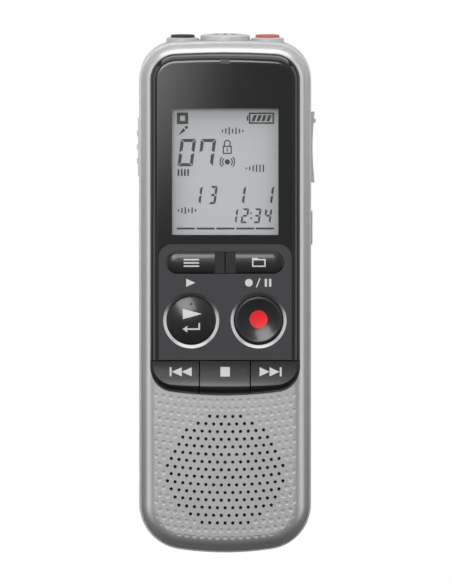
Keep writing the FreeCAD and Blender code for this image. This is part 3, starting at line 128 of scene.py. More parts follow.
def arc(centre_x, centre_y, radius, start, end, steps):
    """Points along an arc, with its first point and without its last."""
    angles = (start + (end - start) * k / steps for k in range(steps))
    return [(centre_x + radius * math.cos(a), centre_y + radius * math.sin(a)) for a in angles]


def turns(steps, end=math.pi / 2):
    """Even angles from nothing to the end, with both."""
    return [end * k / steps for k in range(steps + 1)]


def ring(outline, inset=0.0):
    """The outline's points, the same in number at any inset, so that rings can be skinned."""
    half = outline.half - inset
    ends = (
        (outline.top - inset, outline.top_corner - inset, outline.top_arc - inset, 1),
        (outline.bottom + inset, outline.bottom_corner - inset, outline.bottom_arc - inset, -1),
    )
    points = []
    for end, corner, end_arc, sign in ends:
        corner_x = sign * (half - corner)
        reach = math.sqrt((end_arc - corner) ** 2 - corner_x ** 2)
        turn = math.atan2(reach, half - corner)
        end_y = end - sign * end_arc
        corner_y = end_y + sign * reach
        base = 0 if sign > 0 else math.pi
        points += arc(corner_x, corner_y, corner, base, base + turn, CORNER_STEPS)
        points += arc(0, end_y, end_arc, base + turn, base + math.pi - turn, END_STEPS)
        points += arc(-corner_x, corner_y, corner, base + math.pi - turn, base + math.pi, CORNER_STEPS)
        points.append((-sign * half, corner_y))
    return points


def between(first, second, share):
    """A ring part of the way from one ring to another."""
    return [(a + (c - a) * share, b + (d - b) * share) for (a, b), (c, d) in zip(first, second)]


def pill_ring(reach, y, radius, steps):
    """A pill's outline, as far to the left of the middle as to the right."""
    points = arc(reach - radius, y, radius, -math.pi / 2, math.pi / 2, steps)
    points.append((reach - radius, y + radius))
    points += arc(radius - reach, y, radius, math.pi / 2, 3 * math.pi / 2, steps)
    points.append((radius - reach, y - radius))
    return points


def circle_ring(x, y, radius, steps):
    return arc(x, y, radius, 0, 2 * math.pi, steps)


def box_ring(left, right, low, high):
    return [(left, low), (right, low), (right, high), (left, high)]


# ---------------------------------------------------------------- mesh work


def wall(bm, rows):
    """Joins each row of vertices to the next with a closed band of faces."""
    count = len(rows[0])
    for low, high in zip(rows, rows[1:]):
        for k in range(count):
            after = (k + 1) % count
            bm.faces.new((low[k], low[after], high[after], high[k]))


def skin(levels, bm=None):
    """Joins rings at rising heights into a closed solid, in a new mesh or the one given."""
    bm = bmesh.new() if bm is None else bm
    rows = [[bm.verts.new((x, y, z)) for x, y in points] for points, z in levels]
    wall(bm, rows)
    bm.faces.new(list(reversed(rows[0])))
    bm.faces.new(rows[-1])
    return bm


def prism(points, low, high, bm=None):
    return skin([(points, low), (points, high)], bm)


def turned_rows(bm, profile, matrix, steps):
    """Rows of vertices round the matrix's Z axis, one for each (radius, height) point."""
    angles = [2 * math.pi * k / steps for k in range(steps)]
    return [
        [bm.verts.new(matrix @ Vector((radius * math.cos(a), radius * math.sin(a), height))) for a in angles]
        for radius, height in profile
    ]


def lathe(profile, matrix, steps=96, bm=None):
    """Turns (radius, height) points round the matrix's Z axis into a closed solid."""
    bm = bmesh.new() if bm is None else bm
    rows = turned_rows(bm, [point for point in profile if point[0] > 0], matrix, steps)
    wall(bm, rows)
    for (radius, height), row in ((profile[0], rows[0][::-1]), (profile[-1], rows[-1])):
        if radius > 0:
            bm.faces.new(row)
            continue
        tip = bm.verts.new(matrix @ Vector((0, 0, height)))
        for k in range(steps):
            bm.faces.new((row[k], row[(k + 1) % steps], tip))
    return bm


def hoop(profile, matrix, steps=128):
    """Turns a closed (radius, height) loop round the matrix's Z axis into a ring."""
    bm = bmesh.new()
    rows = turned_rows(bm, profile, matrix, steps)
    wall(bm, rows + rows[:1])
    return bm


def roll(out, up, radius, angles):
    """Half section of a rolled edge whose centre is out from the axis and up from its foot."""
    return [(out + radius * math.cos(turn), up + radius * math.sin(turn)) for turn in angles]


def crown(reach, base, rise, steps):
    """Half section of a shallow crown, or of a dish, from its rim in to the axis."""
    points = []
    for k in range(1, steps + 1):
        out = reach * (1 - k / steps)
        points.append((out, base + rise * (1 - (out / reach) ** 2)))
    return points


def to_object(name, bm):
    bmesh.ops.recalc_face_normals(bm, faces=bm.faces)
    mesh = bpy.data.meshes.new(name)
    bm.to_mesh(mesh)
    bm.free()
    obj = bpy.data.objects.new(name, mesh)
    bpy.context.scene.collection.objects.link(obj)
    return obj


def settle(obj):
    """Applies an object's modifiers to its mesh."""
    depsgraph = bpy.context.evaluated_depsgraph_get()
    mesh = bpy.data.meshes.new_from_object(obj.evaluated_get(depsgraph))
    mesh.name = obj.name
    obj.modifiers.clear()
    obj.data = mesh


def carve(obj, *tools, operation="DIFFERENCE"):
    """Takes each tool out of an object, or keeps only what they share."""
    for bm in tools:
        tool = to_object("tool", bm)
        modifier = obj.modifiers.new("carve", "BOOLEAN")
        modifier.solver = "EXACT"
        modifier.operation = operation
        modifier.object = tool
        settle(obj)
        bpy.data.objects.remove(tool)
    if not obj.data.polygons:
        raise RuntimeError(f"carving left nothing of {obj.name}")


def break_edges(obj, width, steps=2, angle=35):
    """Rounds the sharp edges a little, as moulding does."""
    modifier = obj.modifiers.new("edges", "BEVEL")
    modifier.width = width
    modifier.segments = steps
    modifier.limit_method = "ANGLE"
    modifier.angle_limit = math.radians(angle)
    settle(obj)


def finish_piece(obj, material, body, replaced=(), sharp=32):
    """Smooth shading with kept corners and level flats, the material, and what carries the piece."""
    obj.data.polygons.foreach_set("use_smooth", [True] * len(obj.data.polygons))
    obj.data.set_sharp_from_angle(angle=math.radians(sharp))
    flats = obj.modifiers.new("flats", "WEIGHTED_NORMAL")
    flats.keep_sharp = True
    settle(obj)
    obj.data.materials.clear()
    obj.data.materials.append(material)
    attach(obj, body)
    if replaced:
        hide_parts(*replaced)
    return obj


def dress_node(node, material):
    """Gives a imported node's solid a finish."""
    for place in frame["nodes"][node].material_slots:
        place.material = material


# ---------------------------------------------------------------- shader nodes


def add_node(tree, kind, values=(), **settings):
    """Adds a shader node with its settings and the values of its unlinked inputs."""
    made = tree.nodes.new(f"ShaderNode{kind}")
    for name, value in settings.items():
        setattr(made, name, value)
    for name, value in dict(values).items():
        made.inputs[name].default_value = value
    return made


def link(tree, *joins):
    """Joins nodes; each join is a node, its output, the next node and its input."""
    for source, output, target, entry in joins:
        tree.links.new(source.outputs[output], target.inputs[entry])


def ramp(tree, start, end, first=0.0, last=1.0, **settings):
    """A node that carries values between start and end to values between first and last."""
    values = {"From Min": start, "From Max": end, "To Min": first, "To Max": last}
    return add_node(tree, "MapRange", values, **settings)


def node_material(name):
    """A new material, its node tree and its Principled shader."""
    material = bpy.data.materials.new(name)
    material.use_nodes = True
    return material, material.node_tree, material.node_tree.nodes["Principled BSDF"]


GRAIN_INPUTS = (
    ("Base", "Color", (0.5, 0.5, 0.5, 1)),
    ("Tint", "Color", (0.6, 0.6, 0.6, 1)),
    ("Roughness", "Float", 0.4),
    ("Spread", "Float", 0.05),
    ("Scale", "Float", 3000),
)
GRAIN_OUTPUTS = (("Color", "Color"), ("Roughness", "Float"), ("Height", "Float"))
BROAD_SCALE = 160


def grain_group():
    """Fine moulded or painted grain: a slightly uneven colour and roughness, and a height for the bump."""
    found = bpy.data.node_groups.get("surface_grain")
    if found:
        return found
    group = bpy.data.node_groups.new("surface_grain", "ShaderNodeTree")
    for name, kind, default in GRAIN_INPUTS:
        made = group.interface.new_socket(name=name, in_out="INPUT", socket_type=f"NodeSocket{kind}")
        made.default_value = default
    for name, kind in GRAIN_OUTPUTS:
        group.interface.new_socket(name=name, in_out="OUTPUT", socket_type=f"NodeSocket{kind}")
    inside, outside = group.nodes.new("NodeGroupInput"), group.nodes.new("NodeGroupOutput")
    coordinates = add_node(group, "TexCoord")
    fine = add_node(group, "TexNoise", {"Detail": 2})
    broad = add_node(group, "TexNoise", {"Scale": BROAD_SCALE, "Detail": 3})
    mix = add_node(group, "Mix", data_type="RGBA")
    both = add_node(group, "Math", operation="MULTIPLY")
    spread = add_node(group, "Math", operation="MULTIPLY_ADD")
    link(
        group,
        (coordinates, "Object", fine, "Vector"), (coordinates, "Object", broad, "Vector"),
        (inside, "Scale", fine, "Scale"), (fine, "Fac", both, 0), (broad, "Fac", both, 1),
        (both, 0, mix, "Factor"), (inside, "Base", mix, "A"), (inside, "Tint", mix, "B"),
        (broad, "Fac", spread, 0), (inside, "Spread", spread, 1), (inside, "Roughness", spread, 2),
        (mix, "Result", outside, "Color"), (spread, 0, outside, "Roughness"),
        (fine, "Fac", outside, "Height"),
    )
    return group


RELIEF_DEPTH = 0.02 * MM


def moulded(name, base, tint, roughness, spread=0.06, scale=3000, bump=0.05, **constants):
    """A Principled material whose colour, roughness and bump come from the grain group."""
    found = bpy.data.materials.get(name)
    if found:
        return found
    material, tree, shader = node_material(name)
    colours = {"Base": (*base, 1), "Tint": (*tint, 1)}
    values = {**colours, "Roughness": roughness, "Spread": spread, "Scale": scale}
    grain = add_node(tree, "Group", values, node_tree=grain_group())
    relief = add_node(tree, "Bump", {"Strength": bump, "Distance": RELIEF_DEPTH})
    link(
        tree,
        (grain, "Color", shader, "Base Color"), (grain, "Roughness", shader, "Roughness"),
        (grain, "Height", relief, "Height"), (relief, "Normal", shader, "Normal"),
    )
    for key, value in constants.items():
        shader.inputs[key.replace("_", " ")].default_value = value
    return material


# ---------------------------------------------------------------- finishes

FINISH_DEFAULTS = (3000, 0.05, 0, 0.06)
Finish = namedtuple("Finish", "base tint roughness scale bump metallic spread", defaults=FINISH_DEFAULTS)

FINISHES = {
    "bezel_metal": Finish((0.47, 0.46, 0.48), (0.53, 0.52, 0.54), 0.30, 2600, 0.02, 1, 0.05),
    "print_white": Finish((0.74, 0.74, 0.72), (0.80, 0.80, 0.78), 0.50, 6000, 0.03),
    "print_red": Finish((0.94, 0.012, 0.02), (0.98, 0.02, 0.03), 0.32, 5000, 0.03),
    "lcd_ground": Finish((0.86, 0.905, 0.92), (0.90, 0.945, 0.96), 0.50, 7000, 0.02),
    "lcd_ink": Finish((0.10, 0.105, 0.10), (0.13, 0.135, 0.13), 0.40, 7000, 0.02),
    "lamp_window": Finish((0.055, 0.050, 0.070), (0.07, 0.062, 0.088), 0.35, 2500, 0.02),
    "socket_black": Finish((0.012, 0.012, 0.012), (0.02, 0.02, 0.02), 0.42, 2500, 0.06),
    "socket_red": Finish((0.50, 0.11, 0.09), (0.56, 0.14, 0.12), 0.40, 2500, 0.06),
    "bright_steel": Finish((0.62, 0.62, 0.62), (0.70, 0.70, 0.70), 0.28, metallic=1),
    "silicone": Finish((0.05, 0.05, 0.05), (0.06, 0.06, 0.06), 0.60, 2500),
    "chip_black": Finish((0.03, 0.03, 0.03), (0.04, 0.04, 0.04), 0.55, 3500),
    "solder_mask": Finish((0.02, 0.12, 0.05), (0.03, 0.15, 0.06), 0.35, 1500),
    "white_plastic": Finish((0.72, 0.72, 0.70), (0.76, 0.76, 0.74), 0.40),
    "cell_jacket": Finish((0.08, 0.10, 0.14), (0.10, 0.12, 0.17), 0.30, metallic=0.4),
}


def plain(name):
    """One of the finishes listed above."""
    row = FINISHES[name]
    values = row._asdict()
    metallic = values.pop("metallic")
    return moulded(name, **values, Metallic=metallic)


def lighter(colour, share):
    return [level * (1 + share) for level in colour]


def lacquer(name, roughness, metallic):
    paint = bpy.context.scene.recorder_shells.lacquer
    return moulded(
        name, paint, lighter(paint, 0.1), roughness, spread=0.05, scale=5200, bump=0.10, Metallic=metallic,
    )


def silver_lacquer():
    return lacquer("silver_lacquer", bpy.context.scene.recorder_shells.roughness, 0.75)


def end_lacquer():
    """A duller lacquer for the small curved pieces at the microphone end."""
    return lacquer("end_lacquer", 0.5, 0.4)


def gloss_black():
    gloss = bpy.context.scene.recorder_panel.gloss
    return moulded(
        "gloss_black", gloss, [level + 0.004 for level in gloss], 0.07, spread=0.04, scale=900, bump=0.01,
        Coat_Weight=0.5, Coat_Roughness=0.04,
    )


def satin_plate():
    satin = bpy.context.scene.recorder_panel.satin
    return moulded("satin_plate", satin, lighter(satin, 0.15), 0.38, spread=0.08, scale=4200, bump=0.08)


def key_black():
    plastic = bpy.context.scene.recorder_keys.plastic
    return moulded(
        "key_black", plastic, lighter(plastic, 0.2), 0.20, scale=2600, bump=0.03, Coat_Weight=0.4,
        Coat_Roughness=0.1,
    )


def lens_material():
    """Black printed lens whose window is nearly clear."""
    found = bpy.data.materials.get("printed_lens")
    if found:
        return found
    look = bpy.context.scene.recorder_panel
    material = moulded(
        "printed_lens", look.lens, [level + 0.003 for level in look.lens], 0.06, spread=0.03, scale=900,
        bump=0.01, Coat_Weight=0.3, Coat_Roughness=0.03,
    )
    tree = material.node_tree
    coordinates, apart = add_node(tree, "TexCoord"), add_node(tree, "SeparateXYZ")
    window = add_node(tree, "Math", operation="MULTIPLY")
    alpha = add_node(tree, "Math", {1: look.clear_share - 1, 2: 1}, operation="MULTIPLY_ADD")
    spans = (("X", 0.0, look.window_half), ("Y", look.window_middle, look.window_rise))
    for k, (axis, middle, half) in enumerate(spans):
        off = add_node(tree, "Math", {1: middle}, operation="SUBTRACT")
        size = add_node(tree, "Math", operation="ABSOLUTE")
        inside = add_node(tree, "Math", {1: half}, operation="LESS_THAN")
        link(tree, (apart, axis, off, 0), (off, 0, size, 0), (size, 0, inside, 0), (inside, 0, window, k))
    shader = tree.nodes["Principled BSDF"]
    link(tree, (coordinates, "Object", apart, "Vector"), (window, 0, alpha, 0), (alpha, 0, shader, "Alpha"))
    return material


# ---------------------------------------------------------------- sizes and colours a user would change


def length(name, description, default):
    return bpy.props.FloatProperty(
        name=name, description=description, default=default, subtype="DISTANCE", unit="LENGTH",
        precision=5, min=0,
    )


def offset(name, description, default):
    return bpy.props.FloatProperty(name=name, description=description, default=default, unit="LENGTH")


def amount(name, description, default):
    return bpy.props.FloatProperty(name=name, description=description, default=default, min=0)


def part(name, description, default):
    return bpy.props.FloatProperty(
        name=name, description=description, default=default, subtype="FACTOR", min=0, max=1,
    )


def colour(name, description, default):
    return bpy.props.FloatVectorProperty(
        name=name, description=description, default=default, subtype="COLOR", size=3, min=0, max=1,
    )


class RecorderShells(bpy.types.PropertyGroup):
    face_round: length("Face round", "Radius that rolls the front face into the sides", 3.4 * MM)
    hole_radius: length("Hole radius", "Radius of one grille hole", 0.375 * MM)
    dimple_radius: length("Dimple radius", "Radius of one dimple round the grille", 0.48 * MM)
    dimple_depth: length("Dimple depth", "How deep a dimple is", 0.09 * MM)
    grille_pitch: length("Grille pitch", "Distance between holes along a row", 1.704 * MM)
    row_pitch: length("Row pitch", "Distance between rows of holes", 1.69 * MM)
    lacquer: colour("Lacquer", "Colour of the silver lacquer", (0.545, 0.545, 0.55))
    roughness: part("Lacquer roughness", "How matt the lacquer is", 0.34)


class RecorderPanel(bpy.types.PropertyGroup):
    gloss: colour("Gloss", "Colour of the panel's glossy plastic", (0.009, 0.009, 0.010))
    satin: colour("Satin", "Colour of the key plate", (0.037, 0.036, 0.041))
    lens: colour("Lens", "Colour printed behind the lens", (0.006, 0.006, 0.0065))
    window_half: length("Window half width", "Half the width of the clear window", 11.75 * MM)
    window_middle: length("Window middle", "Where the window's middle lies along the recorder", 28.1 * MM)
    window_rise: length("Window half height", "Half the height of the clear window", 14.0 * MM)
    clear_share: part("Clear share", "How much of the window's own surface shows", 0.10)


class RecorderKeys(bpy.types.PropertyGroup):
    plastic: colour("Plastic", "Colour of the keys", (0.010, 0.010, 0.011))
    edge: length("Edge", "Radius of the keys' edges", 0.14 * MM)
    print_height: length("Print height", "Thickness of a printed mark", 0.015 * MM)


class RecorderStage(bpy.types.PropertyGroup):
    distance: length("Distance", "How far the camera stands from the front face", 2.0)
    tilt: bpy.props.FloatProperty(
        name="Tilt", description="How far the camera leans towards the microphone end",
        default=math.radians(4), subtype="ANGLE", unit="ROTATION",
    )
    view_width: length("View width", "What the picture spans at the front face", 99.94 * MM)
    aim_x: offset("Aim across", "Where the camera aims across the recorder", 0.19 * MM)
    aim_y: offset("Aim along", "Where the camera aims along the recorder", 1.44 * MM)
    key_power: amount("Key power", "Power of the key light", 2.2)
    top_power: amount("Top power", "Power of the top strip; the strip above it has half", 3.2)
    side_power: amount("Side power", "Power of each side strip", 1.75)
    sheen: amount("Sheen", "Strength of the glow in the lens", 3.4)
    horizon: amount("Horizon", "Brightness of the surroundings low down", 0.15)
    zenith: amount("Zenith", "Brightness of the surroundings overhead", 0.40)


# ---------------------------------------------------------------- shells

# Holes in each row of the grille, from the keys towards the foot; places without a hole get a dimple
HOLES_PER_ROW = (5, 8, 11, 12, 13, 14, 15, 16, 15, 16, 15, 14, 13, 10, 7)
FULL_ROWS = range(-2, 18)
PLACES_EVEN, PLACES_ODD, LAST_ROW_SHORT = 19, 18, 4
GRILLE_TOP = -26.2 * MM
GRILLE_BOW = 86 * MM
FRONT_STEP = 0.47 * MM
SHELL_WALL = 1.5 * MM
HOLE_DEPTH = 3 * MM
DIMPLE_FLOOR, DIMPLE_MOUTH, DIMPLE_ABOVE = 0.72, 1.1, 0.3 * MM
# The shelf that carries the panel, and how far under the face it is cleared away round the row of keys
SHELF_WIDE, SHELF_DEEP, ROW_CLEAR = 1.2 * MM, 2 * MM, 0.3 * MM
PANEL_FIT, OPENING_RIM = 0.08 * MM, 0.16 * MM
ROW_GAP = 0.12 * MM


def lattice(look):
    """Every place of the lattice: (x, y, whether a hole goes through there)."""
    places = []
    for row in FULL_ROWS:
        through = HOLES_PER_ROW[row] if 0 <= row < len(HOLES_PER_ROW) else 0
        count = PLACES_ODD if row % 2 else PLACES_EVEN
        if row == FULL_ROWS[-1]:
            count -= LAST_ROW_SHORT
        if through and (count - through) % 2:
            count += 1
        for k in range(count):
            across = k - (count - 1) / 2
            x = look.grille_pitch * across
            y = GRILLE_TOP - look.row_pitch * row + x * x / (2 * GRILLE_BOW)
            places.append((x, y, abs(across) < through / 2))
    return places


def holes_tool(look):
    bm = bmesh.new()
    for x, y, through in lattice(look):
        if through:
            prism(circle_ring(x, y, look.hole_radius, 20), FACE - HOLE_DEPTH, FACE + MM, bm)
    return bm


def dimples_tool(look):
    deep, wide = look.dimple_depth, look.dimple_radius
    profile = [(0, -deep), (DIMPLE_FLOOR * wide, -deep), (wide, 0), (DIMPLE_MOUTH * wide, DIMPLE_ABOVE)]
    bm = bmesh.new()
    for x, y, through in lattice(look):
        if not through:
            lathe(profile, Matrix.Translation((x, y, FACE)), steps=20, bm=bm)
    return bm


def row_ring(grow):
    """The part of the panel's outline, grown a little, that lies round the row of keys."""
    limit, half = ROW_TOP + ROW_GAP, PANEL.half + grow
    points = [(x, y) for x, y in ring(PANEL, -grow) if y < limit]
    return points + [(half, limit), (-half, limit)]


def opening_tool():
    """What the panel's opening takes out of the shell, with its rim broken."""
    upright, flared = ring(PANEL, -PANEL_FIT), ring(PANEL, -PANEL_FIT - OPENING_RIM)
    return skin([(upright, PANEL_SEAT), (upright, FACE - OPENING_RIM), (flared, FACE), (flared, FACE + MM)])


def front_shell_piece(look):
    """The hollow front shell: a rolled face, the panel's opening and shelf, the grille and its dimples."""
    front = BODY._replace(
        half=BODY.half - FRONT_STEP, top=BODY.top - FRONT_STEP, bottom=BODY.bottom + FRONT_STEP,
        top_corner=BODY.top_corner - FRONT_STEP, bottom_corner=BODY.bottom_corner - FRONT_STEP,
    )
    soft = look.face_round
    levels = [(ring(front), PARTING)]
    for turn in turns(12):
        levels.append((ring(front, soft * (1 - math.cos(turn))), FACE - soft + soft * math.sin(turn)))
    shell = to_object("front_shell_dressed", skin(levels))
    carve(
        shell,
        prism(ring(front, SHELL_WALL), PARTING - MM, FACE - SHELL_WALL),
        opening_tool(),
        prism(ring(PANEL, SHELF_WIDE), FACE - SHELF_DEEP, FACE),
        prism(row_ring(PANEL_FIT), FACE - SHELF_DEEP, FACE - ROW_CLEAR),
        holes_tool(look),
        dimples_tool(look),
    )
    return shell


class RECORDER_OT_shells(bpy.types.Operator):
    """Moulds the smooth front shell with its grille and lacquers the shells, the lid and the side controls"""
    bl_idname = "recorder.shells"
    bl_label = "Shells"

    def execute(self, context):
        silver = silver_lacquer()
        shell = front_shell_piece(context.scene.recorder_shells)
        finish_piece(shell, silver, CASE, ["front_shell"])
        for node in ("rear_shell", "battery_lid", "volume_rocker", "erase_button", "power_slider"):
            dress_node(node, silver)
        return {"FINISHED"}


# ---------------------------------------------------------------- panel, lens and key plate

BAND_RISE, BAND_ROLL = 1.1 * MM, 2.2
BAND_BREAK, BAND_BREAK_SHARE = 0.15 * MM, 0.02
BAND_STEPS = 12
INLAY_LIP = 0.25 * MM
# Half width, low end and high end in mm of the panel's openings: the window, the round keys and the pill
PANEL_OPENINGS = ((12.3, 13.4, 42.9), (13.2, -10.5, 0.8), (13.2, 5.4, 10.6))
# Painted shade: a black lining where the opening round the row of keys lies in shadow; how far out from the
# panel's outline its outer and inner sides lie, and how far under the face its top stops
SHADE_LINING_OUT, SHADE_LINING_IN, SHADE_LINING_DROP = 0.075 * MM, 0.03 * MM, 0.17 * MM
PLATE_CORNER = 2.9 * MM
PLATE_UP, PLATE_IN = 0.3 * MM, 0.08 * MM
LENS_GAP, LENS_BREAK, LENS_FLAT = 0.265 * MM, 0.015 * MM, 0.3 * MM
LENS_PLATE_GAP, LENS_TAILS = 0.04 * MM, 2.3 * MM
KEY_GAP, PLATE_EDGE = 0.12 * MM, 0.05 * MM
SINK_DEEP, SINK_ABOVE, DISH_DEEP, DISH_WIDE = 2 * MM, 0.3 * MM, 0.5 * MM, 0.73 * MM
BEZEL_GAP, BEZEL_WIDE, BEZEL_DEEP, BEZEL_THICK = 0.14 * MM, 0.69 * MM, 0.45 * MM, 0.05 * MM
ROUND_Y = -4.8 * MM
PILL_Y = 7.98 * MM
PILL_RADIUS, PILL_REACH, PILL_STEPS = 2.325 * MM, 12.87 * MM, 24
LAMP_Y, LAMP_WIDE, LAMP_TALL, LAMP_THICK = 52.47 * MM, 2.06 * MM, 1.04 * MM, 0.02 * MM


def band_levels(low):
    """The panel's upright edge and the band that rolls over into its plateau."""
    edge, crest = ring(PANEL), ring(PLATEAU_EDGE)
    start = PLATEAU - BAND_RISE
    levels = [(edge, low), (edge, start - BAND_BREAK), (between(edge, crest, BAND_BREAK_SHARE), start)]
    for k in range(1, BAND_STEPS + 1):
        share = k / BAND_STEPS
        levels.append((between(edge, crest, share), start + BAND_RISE * (1 - (1 - share) ** BAND_ROLL)))
    return levels


def panel_piece():
    panel = to_object("front_panel_dressed", skin(band_levels(PANEL_SEAT)))
    far = PANEL.half * 2
    row = box_ring(-far, far, PANEL.bottom - MM, ROW_TOP + ROW_GAP)
    carve(
        panel,
        prism(ring(PLATEAU_EDGE, INLAY_LIP), INLAY_FLOOR, PLATEAU + MM),
        prism(row, PANEL_SEAT - MM, PLATEAU + MM),
    )
    for half, low, high in PANEL_OPENINGS:
        opening = box_ring(-half * MM, half * MM, low * MM, high * MM)
        carve(panel, prism(opening, PANEL_SEAT - MM, PLATEAU))
    return panel


def shade_lining_piece():
    """A thin black lining in the shell's opening round the row of keys: painted shade, standing where the
    split and the gaps beside the keys lie in shadow.
    """
    gasket = to_object("row_shade_lining", prism(row_ring(SHADE_LINING_OUT), PANEL_SEAT, FACE - SHADE_LINING_DROP))
    far = PANEL.half * 2
    carve(
        gasket,
        prism(ring(PANEL, -SHADE_LINING_IN), PANEL_SEAT - MM, FACE + MM),
        prism(box_ring(-far, far, ROW_TOP - MM, far * 3), PANEL_SEAT - MM, FACE + MM),
    )
    return gasket


def plate_ring(grow):
    """The key plate's outline: square below, round-shouldered above."""
    half, corner = PLATE_HIGH.x + grow, PLATE_CORNER + grow
    top, low = PLATE_HIGH.y + PLATE_UP + grow, PLATE_LOW.y + PLATE_IN - grow
    points = [(half, low)]
    points += arc(half - corner, top - corner, corner, 0, math.pi / 2, 20)
    points += [(half - corner, top)]
    points += arc(-half + corner, top - corner, corner, math.pi / 2, math.pi, 20)
    points += [(-half, top - corner), (-half, low)]
    return points


def lens_piece():
    """The printed lens: it fills the plateau above the key plate, with short tails beside the plate."""
    upright, broken = ring(PLATEAU_EDGE, LENS_GAP), ring(PLATEAU_EDGE, LENS_GAP + LENS_BREAK)
    levels = [(upright, INLAY_FLOOR), (upright, PLATEAU - LENS_BREAK), (broken, PLATEAU)]
    levels.append((ring(PLATEAU_EDGE, LENS_GAP + LENS_FLAT), PLATEAU))
    lens = to_object("display_lens_dressed", skin(levels))
    below = box_ring(-PANEL.half, PANEL.half, PANEL.bottom - MM, PLATE_HIGH.y - LENS_TAILS)
    for outline in (plate_ring(LENS_PLATE_GAP), below):
        carve(lens, prism(outline, INLAY_FLOOR - MM, PLATEAU + MM))
    return lens


def sink_tool(node):
    """What a round key's hole and its conical dish take out of the key plate."""
    radius = half_width(node) + KEY_GAP
    flare = DISH_WIDE * (DISH_DEEP + SINK_ABOVE) / DISH_DEEP
    profile = [(radius, -SINK_DEEP), (radius, -DISH_DEEP), (radius + flare, SINK_ABOVE)]
    return lathe(profile, Matrix.Translation((middle_x(node), ROUND_Y, PLATE_TOP)), steps=128)


def key_plate_piece():
    plate = to_object("key_plate_dressed", prism(plate_ring(0), INLAY_FLOOR, PLATE_TOP))
    pill = pill_ring(PILL_REACH + KEY_GAP, PILL_Y, PILL_RADIUS + KEY_GAP, PILL_STEPS)
    carve(plate, prism(pill, INLAY_FLOOR - MM, PLATE_TOP + MM), *(sink_tool(node) for node in ROUND_KEYS))
    break_edges(plate, PLATE_EDGE, angle=28)
    return plate


def bezel_piece(node, name):
    """The bright cone round a round key."""
    inner = half_width(node) + BEZEL_GAP
    outer = inner + BEZEL_WIDE
    loop = [(inner, -BEZEL_DEEP - BEZEL_THICK), (outer, -BEZEL_THICK), (outer, 0), (inner, -BEZEL_DEEP)]
    return to_object(name, hoop(loop, Matrix.Translation((middle_x(node), ROUND_Y, PLATE_TOP))))


class RECORDER_OT_panel(bpy.types.Operator):
    """Makes the glossy panel, the printed lens, the satin key plate and the bright rings on it"""
    bl_idname = "recorder.panel"
    bl_label = "Panel"

    def execute(self, context):
        panel = finish_piece(panel_piece(), gloss_black(), CASE, ["front_panel"])
        finish_piece(lens_piece(), lens_material(), CASE, ["display_lens"])
        # The black lining is painted shade in the opening round the row of keys.
        finish_piece(shade_lining_piece(), plain("socket_black"), CASE)
        finish_piece(key_plate_piece(), satin_plate(), CASE, ["key_plate"], sharp=24)
        for node, name in (("play_button", "play_bezel"), ("record_button", "record_bezel")):
            finish_piece(bezel_piece(node, name), plain("bezel_metal"), CASE)
        violet = plain("lamp_window")
        dress_node("led_light_pipe", violet)
        lamp = [rectangle(0, LAMP_Y, LAMP_WIDE, LAMP_TALL)]
        printed("lamp_window", lamp, panel, CASE, violet, "light_violet", LAMP_THICK)
        return {"FINISHED"}


# ---------------------------------------------------------------- keys

ROW_KEYS = ("rewind_key", "stop_key", "forward_key")
ROW_SPLIT, ROW_BACK = 0.06 * MM, 0.1 * MM
SCOOP_DEEP, SCOOP_LONG, SCOOP_STEPS = 0.39 * MM, 20 * MM, 512
ROLL_END = math.radians(82)
PILL_SPLIT, PILL_STEP = 0.1 * MM, 2.3 * MM
PILL_RISE, PILL_FLAT = 0.42 * MM, 0.4 * MM
PILL_CREST, PILL_KEY_STEPS = 0.93, 32
FAR = 20 * MM

# Each round key: how far its rim lies under the plateau, its crown's rise or its dish's fall, its edge
RoundKey = namedtuple("RoundKey", "sink rise edge")
ROUND_KEYS = {
    "play_button": RoundKey(0.37 * MM, 0.67 * MM, 0.3 * MM),
    "record_button": RoundKey(0.2 * MM, -0.65 * MM, 0.5 * MM),
}
DOT_OUT, DOT_SINK, DOT_RADIUS, DOT_TALL = 3.66 * MM, 0.05 * MM, 0.26 * MM, 0.2 * MM


def row_key_piece(node, edge):
    """Part of the panel's lower end between two splits, scooped for a fingertip."""
    low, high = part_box(node)
    key = to_object(f"{node}_dressed", skin(band_levels(low.z)))
    between_splits = box_ring(low.x + ROW_SPLIT, high.x - ROW_SPLIT, PANEL.bottom - MM, high.y - ROW_BACK)
    carve(key, prism(between_splits, low.z - MM, PLATEAU + MM), operation="INTERSECT")
    run = ROW_TOP - PLATEAU_EDGE.bottom
    radius = (run * run + SCOOP_DEEP * SCOOP_DEEP) / (2 * SCOOP_DEEP)
    centre = Matrix.Translation((0, ROW_TOP, PLATEAU - SCOOP_DEEP + radius))
    across = centre @ Matrix.Rotation(math.pi / 2, 4, "Y")
    carve(key, lathe([(radius, -SCOOP_LONG), (radius, SCOOP_LONG)], across, steps=SCOOP_STEPS))
    break_edges(key, edge, steps=3, angle=30)
    return key


def round_key_piece(node, shape):
    """A round key: an upright side, a rolled edge and a crown or dish."""
    radius, rim = half_width(node), PLATEAU - shape.sink
    reach = radius - shape.edge
    profile = [(0, ROUND_LOW), (radius, ROUND_LOW)]
    profile += roll(reach, rim - shape.edge, shape.edge, turns(4, ROLL_END))
    profile += crown(reach, rim, shape.rise, 12)
    axis = Matrix.Translation((middle_x(node), ROUND_Y, 0))
    return to_object(f"{node}_dressed", lathe(profile, axis, steps=128))


